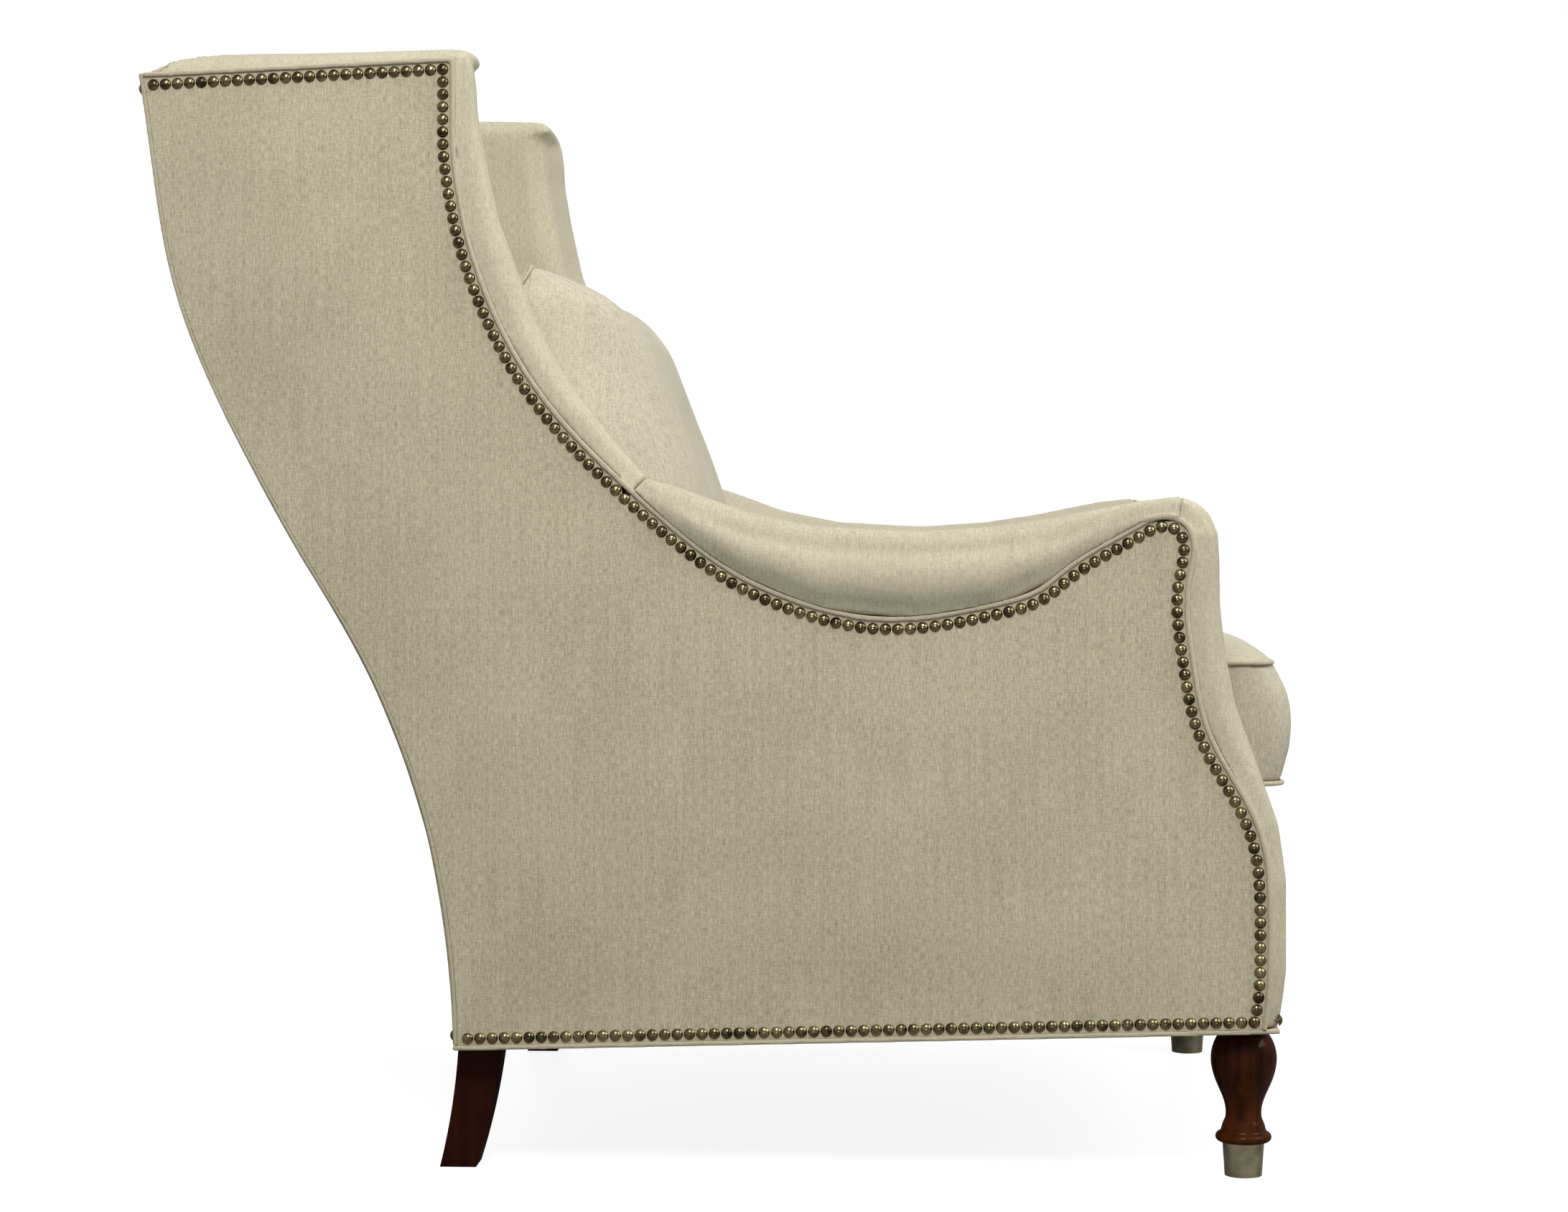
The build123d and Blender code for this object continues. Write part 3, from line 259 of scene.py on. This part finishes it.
woods = {  # name: dark, light, gloss, grain turn in degrees
    "turnedMahogany": ((0.004, 0.0006, 0.0004), (0.100, 0.024, 0.003), 0.11, 0),
    "sabreMahogany": ((0.006, 0.0008, 0.0006), (0.040, 0.008, 0.003), 0.06, 12),
    "planedHardwood": ((0.42, 0.27, 0.14), (0.66, 0.48, 0.30), 0.05, 0),
}
woodFinish = {"grain": (120, 120, 7), "grainDetail": 5.0, "cloud": 14.0, "cloudDetail": 2.0, "cloudTone": 1.3,
              "darker": 0.1, "roughness": 0.42, "glossSmooths": 0.3, "grainRoughness": 0.25, "shine": 0.03,
              "coatRoughness": 0.08, "bump": 0.2, "depth": 0.0004}


def makeWood(name):
    dark, light, gloss, grainTurn = woods[name]
    f = woodFinish
    wood, row, shader = newMaterial(name)
    place = row.objectPlace()
    along = row.add("ShaderNodeMapping", {"Vector": place, "Scale": f["grain"],
                                          "Rotation": (radians(grainTurn), 0, 0)}).outputs[0]
    grain = row.noise(along, 1.0, f["grainDetail"])
    cloud = row.sum("SUBTRACT", row.noise(place, f["cloud"], f["cloudDetail"]), 0.5)
    tone = row.sum("MULTIPLY_ADD", cloud, f["cloudTone"], row.sum("SUBTRACT", grain, f["darker"]))
    smooth = f["roughness"] - gloss * f["glossSmooths"]
    row.feed(shader, {"Base Color": row.blend(tone, (*dark, 1), (*light, 1)),
                      "Roughness": row.sum("MULTIPLY_ADD", grain, f["grainRoughness"], smooth),
                      "Normal": row.bump(grain, f["bump"], f["depth"])})
    shader.inputs["Specular IOR Level"].default_value = f["shine"]
    shader.inputs["Coat Weight"].default_value = gloss
    shader.inputs["Coat Roughness"].default_value = f["coatRoughness"]
    return wood


metals = {  # name: dark, light, roughness, patch scale, scratch scale
    "antiqueBrass": ((0.045, 0.038, 0.019), (0.30, 0.25, 0.13), 0.22, 75, (900, 900, 900)),
    "brushedFerrule": ((0.18, 0.16, 0.09), (0.62, 0.56, 0.37), 0.24, 30, (160, 160, 1500)),
    "plainSteel": ((0.30, 0.30, 0.31), (0.48, 0.48, 0.50), 0.38, 30, (500, 500, 60)),
}
metalFinish = {"patchDetail": 2.0, "patchTone": 2.6, "scratchDetail": 4.0, "scratchTone": 0.6, "darker": 1.1,
               "scratchRoughness": 0.3, "bump": 0.15, "depth": 0.0003}


def makeMetal(name):
    dark, light, roughness, patchScale, scratchScale = metals[name]
    f = metalFinish
    metal, row, shader = newMaterial(name)
    shader.inputs["Metallic"].default_value = 1.0
    place = row.objectPlace()
    patches = row.noise(place, patchScale, f["patchDetail"])
    scratches = row.add("ShaderNodeMapping", {"Vector": place, "Scale": scratchScale}).outputs[0]
    scratches = row.noise(scratches, 1.0, f["scratchDetail"])
    tone = row.sum("MULTIPLY_ADD", scratches, f["scratchTone"], -f["darker"])
    tone = row.sum("MULTIPLY_ADD", patches, f["patchTone"], tone)
    smooth = roughness - f["scratchRoughness"] / 2
    row.feed(shader, {"Base Color": row.blend(tone, (*dark, 1), (*light, 1)),
                      "Roughness": row.sum("MULTIPLY_ADD", scratches, f["scratchRoughness"], smooth),
                      "Normal": row.bump(scratches, f["bump"], f["depth"])})
    return metal


plainCloths = {  # name: dark, light, fibre scale
    "blackDustCloth": ((0.006, 0.006, 0.006), (0.03, 0.03, 0.03), 900),
    "juteWebbing": ((0.25, 0.18, 0.09), (0.48, 0.38, 0.22), 700),
}
plainFinish = {"roughness": 0.9, "fibreDetail": 4.0, "bump": 0.3, "depth": 0.0005}


def makePlainCloth(name):
    dark, light, fibreScale = plainCloths[name]
    cloth, row, shader = newMaterial(name)
    shader.inputs["Roughness"].default_value = plainFinish["roughness"]
    fibres = row.noise(row.objectPlace(), fibreScale, plainFinish["fibreDetail"])
    row.feed(shader, {"Base Color": row.blend(fibres, (*dark, 1), (*light, 1)),
                      "Normal": row.bump(fibres, plainFinish["bump"], plainFinish["depth"])})
    return cloth


# Mesh helpers
mergeDistance = 0.00002
smoothStep = 0.5  # share of the way that a smoothing round moves a point


def newPiece(name, mesh, material, body, slotName, *replaced):
    mesh.materials.clear()
    mesh.materials.append(material)
    for face in mesh.polygons:
        face.use_smooth = True
        face.material_index = 0
    piece = bpy.data.objects.new(name, mesh)
    scene.collection.objects.link(piece)
    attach(piece, body)
    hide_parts(*replaced)
    return piece


def shaped(mesh, steps):
    holder = bpy.data.objects.new("shaping", mesh)
    scene.collection.objects.link(holder)
    for kind, settings in steps:
        modifier = holder.modifiers.new(kind, kind)
        for name, value in settings.items():
            setattr(modifier, name, value)
    ready = bpy.context.evaluated_depsgraph_get()
    ready.update()
    result = bpy.data.meshes.new_from_object(holder.evaluated_get(ready))
    bpy.data.objects.remove(holder)
    return result


def widestIsland(shell):
    left, islands = set(shell.verts), []
    while left:
        start = left.pop()
        island, edge = {start}, [start]
        while edge:
            for link in edge.pop().link_edges:
                for vert in link.verts:
                    if vert in left:
                        left.discard(vert)
                        island.add(vert)
                        edge.append(vert)
        islands.append(island)
    reach = [max(v.co.x for v in i) - min(v.co.x for v in i) for i in islands]
    return islands[reach.index(max(reach))]


def merged(node, outer=False):
    shell = bmesh.new()
    shell.from_mesh(nodes[node].data)
    bmesh.ops.remove_doubles(shell, verts=shell.verts, dist=mergeDistance)
    if outer:
        keep = widestIsland(shell)
        bmesh.ops.delete(shell, geom=[v for v in shell.verts if v not in keep], context="VERTS")
    cleaned = bpy.data.meshes.new("merged")
    shell.to_mesh(cleaned)
    shell.free()
    return cleaned


def eased(t):
    t = min(1.0, max(0.0, t))
    return t * t * (3 - 2 * t)


wallTrees = {}


def wallOf(name):
    if name not in wallTrees:
        data = nodes[name].data
        spots, faces = [v.co for v in data.vertices], [p.vertices for p in data.polygons]
        wallTrees[name] = BVHTree.FromPolygons(spots, faces)
    return wallTrees[name]


def freeOf(beside):  # 0 at the walls that a piece is sewn to, 1 from three reaches off
    walls = [(wallOf(name), reach) for name, reach in beside]

    def freedom(spot):
        free = 1.0
        for wall, reach in walls:
            away = wall.find_nearest(spot, 3 * reach)[3]
            if away is not None:
                free = min(free, eased((away - reach) / (2 * reach)))
        return free

    return freedom


def softened(node, voxel, rounds, outer=False, beside=(), drawnTo=()):
    mesh = shaped(merged(node, outer), [("REMESH", {"mode": "VOXEL", "voxel_size": voxel}),
                                        ("SMOOTH", {"factor": smoothStep, "iterations": rounds})])
    if beside:  # near a seam the cover keeps the CAD surface
        freedom, own = freeOf(beside), wallOf(node)
        for vert in mesh.vertices:
            free = freedom(vert.co)
            if free < 1:
                vert.co = own.find_nearest(vert.co)[0].lerp(vert.co, free)
    for name, closed, within in drawnTo:  # closes the slit between a cover and what it is sewn to
        wall = wallOf(name)
        for vert in mesh.vertices:
            spot, _, _, away = wall.find_nearest(vert.co, within)
            if spot:
                vert.co = spot.lerp(vert.co, eased((away - closed) / (within - closed)))
    return mesh


def mirrored(mesh):
    twin = mesh.copy()
    twin.transform(Matrix.Scale(-1, 4, (1, 0, 0)))
    twin.flip_normals()
    return twin


def rippled(mesh, height, size, seed):
    normals = [vert.normal.copy() for vert in mesh.vertices]
    for vert, normal in zip(mesh.vertices, normals):
        lift = noise.noise(vert.co / size + Vector((seed, seed, seed)))
        vert.co += normal * (lift * height)
    return mesh


def smoothedFree(mesh, freedom, rounds):
    holder = bpy.data.objects.new("easing", mesh)
    free = holder.vertex_groups.new(name="free")
    for vert in mesh.vertices:
        free.add([vert.index], freedom(vert.co), "REPLACE")
    scene.collection.objects.link(holder)
    ease = holder.modifiers.new("ease", "SMOOTH")
    ease.factor, ease.iterations, ease.vertex_group = smoothStep, rounds, "free"
    result = bpy.data.meshes.new_from_object(holder.evaluated_get(bpy.context.evaluated_depsgraph_get()))
    bpy.data.objects.remove(holder)
    return result


# Outside panels: linen drawn over thin padding, flat beside the nails and fuller in the middle
sidePanel = {"cell": 0.016, "crown": 0.0032, "flatEdge": 0.012, "fullAt": 0.11, "sheet": 0.004,
             "outward": (-1, 0.0204, 0), "facing": 0.98, "edgeStep": 0.003, "sharp": 40}


def boundaryTree(sheet):
    spots = []
    for edge in sheet.edges:
        if edge.is_boundary:
            a, b = edge.verts[0].co, edge.verts[1].co
            count = max(1, round((b - a).length / sidePanel["edgeStep"]))
            spots += [a.lerp(b, i / count) for i in range(count)]
    tree = KDTree(len(spots))
    for i, spot in enumerate(spots):
        tree.insert(spot, i)
    tree.balance()
    return tree


def outerSheet(outward):  # the CAD panel's outer face, cut into cells
    sheet = bmesh.new()
    sheet.from_mesh(nodes["outside_side_right"].data)
    bmesh.ops.remove_doubles(sheet, verts=sheet.verts, dist=mergeDistance)
    sheet.normal_update()
    inner = [face for face in sheet.faces if face.normal.dot(outward) < sidePanel["facing"]]
    bmesh.ops.delete(sheet, geom=inner, context="FACES")
    bmesh.ops.dissolve_faces(sheet, faces=sheet.faces)
    low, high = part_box("outside_side_right")
    for axis in (1, 2):
        count = int((high[axis] - low[axis]) / sidePanel["cell"])
        for i in range(1, count):
            spot, normal = Vector(low), Vector((0, 0, 0))
            spot[axis] += (high[axis] - low[axis]) * i / count
            normal[axis] = 1
            bmesh.ops.bisect_plane(sheet, geom=sheet.verts[:] + sheet.edges[:] + sheet.faces[:],
                                   plane_co=spot, plane_no=normal)
    return sheet


def makeSidePanels():
    outward = Vector(sidePanel["outward"]).normalized()
    sheet = outerSheet(outward)
    edge = boundaryTree(sheet)
    span = sidePanel["fullAt"] - sidePanel["flatEdge"]
    for vert in sheet.verts:
        away = edge.find(vert.co)[2]
        vert.co += outward * (sidePanel["crown"] * eased((away - sidePanel["flatEdge"]) / span))
    bmesh.ops.triangulate(sheet, faces=[face for face in sheet.faces if len(face.verts) > 4])
    mesh = bpy.data.meshes.new("panel")
    sheet.to_mesh(mesh)
    sheet.free()
    mesh = shaped(mesh, [("SOLIDIFY", {"thickness": sidePanel["sheet"], "offset": -1})])
    for side, shell in (("right", mesh), ("left", mirrored(mesh))):
        newPiece("sidePanel" + side.title(), shell, linens["panelLinen"], "chair_frame", "panel_fabric",
                 "outside_side_" + side)
        shell.set_sharp_from_angle(angle=radians(sidePanel["sharp"]))


backPanel = {"across": 40, "up": 60, "sheet": 0.004, "rounds": 12, "inset": 0.0006, "behind": 0.1,
             "narrowBy": 0.0005, "sharp": 40}


def makeBackPanel():
    low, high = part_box("outside_back")
    cad = BVHTree.FromObject(nodes["outside_back"], bpy.context.evaluated_depsgraph_get())
    inset = backPanel["inset"]

    def onBack(x, z):
        return cad.ray_cast(Vector((x, high.y + backPanel["behind"], z)), Vector((0, -1, 0)))[0]

    sheet = bmesh.new()
    bmesh.ops.create_grid(sheet, x_segments=backPanel["across"], y_segments=backPanel["up"], size=1)
    for vert in sheet.verts:
        u, v = vert.co.x, vert.co.y
        z = low.z + inset + (high.z - low.z - 2 * inset) * (v + 1) / 2
        wide = high.x
        while onBack(wide * u, z) is None:
            wide -= backPanel["narrowBy"]
        vert.co = onBack(wide * u, z)
    bmesh.ops.recalc_face_normals(sheet, faces=sheet.faces)
    sheet.normal_update()
    if sum(face.normal.y for face in sheet.faces) < 0:
        bmesh.ops.reverse_faces(sheet, faces=sheet.faces)
    mesh = bpy.data.meshes.new("back")
    sheet.to_mesh(mesh)
    sheet.free()
    mesh = shaped(mesh, [("SMOOTH", {"factor": smoothStep, "iterations": backPanel["rounds"], "use_x": False,
                                     "use_z": False}),
                         ("SOLIDIFY", {"thickness": backPanel["sheet"], "offset": -1})])
    newPiece("outsideBack", mesh, linens["panelLinen"], "chair_frame", "panel_fabric", "outside_back")
    mesh.set_sharp_from_angle(angle=radians(backPanel["sharp"]))


# Padded covers over the frame
sewn = {"welt": 0.006, "cover": 0.002}  # how far a seam holds the CAD surface


def besides(node):
    near = dict.fromkeys(("side_welt_right", "side_welt_left", "back_welt", "base_welt"), sewn["welt"])
    for name in ("inside_wing", "inside_arm", "arm_front"):
        near[name + "_right"] = near[name + "_left"] = sewn["cover"]
    for name in ("inside_back", "front_border", "outside_back"):
        near[name] = sewn["cover"]
    near.pop(node)
    return list(near.items())


wingCorner = {"spot": (-0.268, 0.246, 1.062), "reach": 0.055, "fuller": 1.4, "rounds": 45, "from": 1.035,
              "over": 0.03}


def roundedCorner(mesh):
    c = wingCorner
    spot = Vector(c["spot"])

    def freedom(place):
        return eased(c["fuller"] * (1 - (place - spot).length / c["reach"]))

    mesh = smoothedFree(mesh, freedom, c["rounds"])
    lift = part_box("inside_wing_right")[1].z - max(vert.co.z for vert in mesh.vertices)
    for vert in mesh.vertices:
        vert.co.z += lift * eased((vert.co.z - c["from"]) / c["over"])
    return mesh


sideCovers = {  # piece: CAD node, voxel, smoothing rounds, ripple height
    "wingCover": ("inside_wing", 0.0034, 12, 0.0008),
    "armCover": ("inside_arm", 0.0034, 12, 0.0010),
    "armFront": ("arm_front", 0.0030, 10, 0.0006),
}
sideCoverSet = {"drawnTo": [("side_welt_right", 0.004, 0.014)], "rippleSize": 0.07, "rippleSeed": 3, "fill": 0.9}


def makeSideCovers():
    c = sideCoverSet
    for name, (node, voxel, rounds, ripple) in sideCovers.items():
        right = node + "_right"
        mesh = softened(right, voxel, rounds, beside=besides(right), drawnTo=c["drawnTo"])
        if node == "inside_wing":
            mesh = roundedCorner(mesh)
        mesh = rippled(mesh, ripple, c["rippleSize"], c["rippleSeed"])
        for side, shell in (("right", mesh), ("left", mirrored(mesh))):
            piece = newPiece(name + side.title(), shell, linens["borderLinen"], "chair_frame", "cover_fabric",
                             node + "_" + side)
        print("cover made:", name, len(mesh.polygons))


# Ripples are height, size, seed. The border is cloth on wood, so it isn't padded
insideBack = {"voxel": 0.0045, "rounds": 12, "ripple": (0.0012, 0.12, 5), "fill": 0.9,
              "drawnTo": [("back_welt", 0.009, 0.018)]}
frontBorder = {"voxel": 0.0045, "rounds": 4, "ripple": (0.0006, 0.09, 7),
               "drawnTo": [("arm_front_right", 0.004, 0.012), ("arm_front_left", 0.004, 0.012),
                           ("base_welt", 0.003, 0.008)]}
seatDeck = {"voxel": 0.0075, "rounds": 3, "fill": 0.9}


def makeMiddleCovers():
    c = insideBack
    mesh = softened("inside_back", c["voxel"], c["rounds"], beside=besides("inside_back"), drawnTo=c["drawnTo"])
    inside = newPiece("insideBack", rippled(mesh, *c["ripple"]), linens["panelLinen"], "chair_frame",
                      "cover_fabric", "inside_back")
    c = frontBorder
    mesh = softened("front_border", c["voxel"], c["rounds"], beside=besides("front_border"), drawnTo=c["drawnTo"])
    newPiece("frontBorder", rippled(mesh, *c["ripple"]), linens["panelLinen"], "chair_frame", "panel_fabric",
             "front_border")
    c = seatDeck
    deck = newPiece("seatDeck", softened("seat_deck", c["voxel"], c["rounds"]), linens["panelLinen"],
                    "chair_frame", "cover_fabric", "seat_deck")


welts = {  # CAD node: voxel, rounds
    "side_welt_right": (0.0012, 8), "base_welt": (0.0015, 7), "back_welt": (0.0013, 6),
    "seat_cushion_welts": (0.0016, 5), "back_cushion_welts": (0.0016, 5),
}


def newWelt(name, mesh, node, body="chair_frame"):
    newPiece(name, mesh, linens["weltLinen"], body, "cover_fabric", node)


def makeWelts():
    side, base, back = (softened(node, *welts[node]) for node in ("side_welt_right", "base_welt", "back_welt"))
    newWelt("sideWeltLeft", mirrored(side), "side_welt_left")
    newWelt("sideWeltRight", side, "side_welt_right")
    newWelt("baseWelt", base, "base_welt")
    newWelt("backWelt", back, "back_welt")


# Loose cushions, blown up from the CAD form between their sewn seams
clothSet = {"quality": 5, "mass": 0.3, "stretch": 12, "shear": 5, "bend": 0.5, "frames": 20}
cushionSet = {"rippleSize": 0.11, "fill": 0.75}
seatCushion = {"voxel": 0.007, "rounds": 14, "pressure": 4.0, "cap": 0.005, "bottomSeam": 0.366,
               "weltSize": 0.012, "seamReach": 0.007, "bottomShare": 0.7, "side": 0.245, "rear": 0.1,
               "front": 0.02, "ripple": 0.0016, "seed": 11}
backCushion = {"voxel": 0.007, "rounds": 14, "pressure": 4.5, "cap": 0.003, "lean": 20.0, "tall": 0.440,
               "weltTop": 0.872, "weltY": 0.193, "seamReach": 0.007, "side": 0.235, "top": 0.02,
               "seamFoot": 0.52, "boxingFoot": 0.53, "rear": 0.09, "ripple": 0.0022, "seed": 23,
               "bow": 0.018, "bowFrom": 0.17, "bowOver": 0.07, "bowDeep": 0.08, "bowTop": 0.03,
               "bowFoot": 0.20, "sink": 0.007, "sinkOver": 0.06}


def puffed(mesh, pressure, cap, held):
    start = [vert.co.copy() for vert in mesh.vertices]
    holder = bpy.data.objects.new("puffing", mesh)
    scene.collection.objects.link(holder)
    pins = holder.vertex_groups.new(name="pins")
    pins.add([i for i, spot in enumerate(start) if held(spot)], 1.0, "REPLACE")
    cloth = holder.modifiers.new("cloth", "CLOTH")
    cloth.settings.quality = clothSet["quality"]
    cloth.settings.mass = clothSet["mass"]
    cloth.settings.tension_stiffness = clothSet["stretch"]
    cloth.settings.compression_stiffness = clothSet["stretch"]
    cloth.settings.shear_stiffness = clothSet["shear"]
    cloth.settings.bending_stiffness = clothSet["bend"]
    cloth.settings.use_pressure = True
    cloth.settings.uniform_pressure_force = pressure
    cloth.settings.vertex_group_mass = "pins"
    cloth.settings.effector_weights.gravity = 0
    cloth.point_cache.frame_start, cloth.point_cache.frame_end = 1, clothSet["frames"]
    for step in range(1, clothSet["frames"] + 1):
        scene.frame_set(step)
    result = bpy.data.meshes.new_from_object(holder.evaluated_get(bpy.context.evaluated_depsgraph_get()))
    bpy.data.objects.remove(holder)
    scene.frame_set(1)
    for vert, spot in zip(result.vertices, start):
        move = vert.co - spot
        if move.length > cap:
            vert.co = spot + move * (cap / move.length)
    return result


def blownUp(node, c, held):
    mesh = softened(node, c["voxel"], 1, outer=True)
    mesh = smoothedFree(mesh, lambda spot: 0.0 if held(spot) else 1.0, c["rounds"])
    return puffed(mesh, c["pressure"], c["cap"], held)


def newCushion(name, mesh, node, c):
    rippled(mesh, c["ripple"], cushionSet["rippleSize"], c["seed"])
    mesh = shaped(mesh, [("SUBSURF", {"levels": 1, "render_levels": 1})])
    piece = newPiece(name, mesh, linens["cushionLinen"], node + "_body", "cover_fabric", node, node + "_core")


def makeSeatCushion():
    c = seatCushion
    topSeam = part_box("seat_cushion_welts")[1].z - c["weltSize"] / 2
    topFront = min(v.co.y for v in nodes["seat_cushion_welts"].data.vertices if v.co.z > topSeam)

    def held(spot):
        edge = abs(spot.x) > c["side"] or spot.y > c["rear"]
        nearTop = abs(spot.z - topSeam) < c["seamReach"] and (edge or spot.y < topFront + c["front"])
        boxing = spot.z < topSeam and edge and spot.y > topFront + c["front"]
        return nearTop or boxing or spot.z < c["bottomSeam"] + c["seamReach"] * c["bottomShare"]

    newCushion("seatCushion", blownUp("seat_cushion", c, held), "seat_cushion", c)
    seams = softened("seat_cushion_welts", *welts["seat_cushion_welts"])
    newWelt("seatCushionWelts", seams, "seat_cushion_welts", "seat_cushion_body")


def makeBackCushion():
    c = backCushion
    lean = radians(c["lean"])
    foot = Vector((0, c["weltY"] - c["tall"] * sin(lean), c["weltTop"] - c["tall"] * cos(lean)))
    toSeam = (Matrix.Translation(foot) @ Matrix.Rotation(radians(90) - lean, 4, "X")).inverted()
    outward = Vector((0, -cos(lean), sin(lean)))

    def held(spot):
        x, v, w = toSeam @ spot
        rim = abs(x) > c["side"] or v > c["tall"] - c["top"] or spot.z < c["seamFoot"]
        nearSeam = rim and abs(w) < c["seamReach"]
        boxing = w < 0 and (abs(x) > c["side"] or spot.z < c["boxingFoot"])
        return nearSeam or boxing or w < -c["rear"]

    def bowed(mesh):
        for vert in mesh.vertices:
            x, v, w = toSeam @ vert.co
            down = c["tall"] - v
            share = eased((abs(x) - c["bowFrom"]) / c["bowOver"]) * eased((w + c["rear"]) / c["bowDeep"])
            share *= eased(down / c["bowTop"]) * eased((c["bowFoot"] - down) / (c["bowFoot"] / 2))
            vert.co.y += c["bow"] * share
            vert.co -= outward * (c["sink"] * eased(w / c["sinkOver"]))
        return mesh

    newCushion("backCushion", bowed(blownUp("back_cushion", c, held)), "back_cushion", c)
    seams = bowed(softened("back_cushion_welts", *welts["back_cushion_welts"]))
    newWelt("backCushionWelts", seams, "back_cushion_welts", "back_cushion_body")


# Legs: sabre legs with rounded edges at the back, turned legs at the front, with angles in degrees
legs = {"edge": 0.0022, "edgeSteps": 3, "edgeAngle": 40, "sabreSharp": 30, "turnedSharp": 38}


def makeLegs():
    sabreWood, turnedWood = makeWood("sabreMahogany"), makeWood("turnedMahogany")
    rounding = {"width": legs["edge"], "segments": legs["edgeSteps"], "limit_method": "ANGLE",
                "angle_limit": radians(legs["edgeAngle"])}
    for side in ("right", "left"):
        sabre = shaped(merged("back_leg_" + side), [("BEVEL", rounding)])
        newPiece("backLeg" + side.title(), sabre, sabreWood, "chair_frame", "leg_wood", "back_leg_" + side)
        sabre.set_sharp_from_angle(angle=radians(legs["sabreSharp"]))
        turned = merged("front_leg_" + side)
        newPiece("frontLeg" + side.title(), turned, turnedWood, "chair_frame", "leg_wood", "front_leg_" + side)
        turned.set_sharp_from_angle(angle=radians(legs["turnedSharp"]))


# Finishes of the CAD nodes that stay. Every other one is frame timber
nodeFinishes = {
    "antiqueBrass": ("side_nails_right", "side_nails_left", "front_nails", "back_nails"),
    "brushedFerrule": ("front_ferrule_right", "front_ferrule_left"),
    "plainSteel": ("block_screws", "seat_springs", "spring_clips", "leg_bolts"),
    "blackDustCloth": ("dust_cover",),
    "juteWebbing": ("back_webbing",),
}


def paintNodes():
    timber, paints = makeWood("planedHardwood"), {}
    for finish, names in nodeFinishes.items():
        paint = makeMetal(finish) if finish in metals else makePlainCloth(finish)
        paints.update(dict.fromkeys(names, paint))
    for name, node in nodes.items():
        node.data.materials.clear()
        node.data.materials.append(paints.get(name, timber))


makeCamera()
makeWorld()
makeLamps()
makeFloor()
linens = makeLinens()
paintNodes()
makeLegs()
print("legs and metal done")
makeSidePanels()
makeBackPanel()
makeSideCovers()
makeMiddleCovers()
makeWelts()
print("covers and welts done")
makeSeatCushion()
makeBackCushion()
print("cushions done")
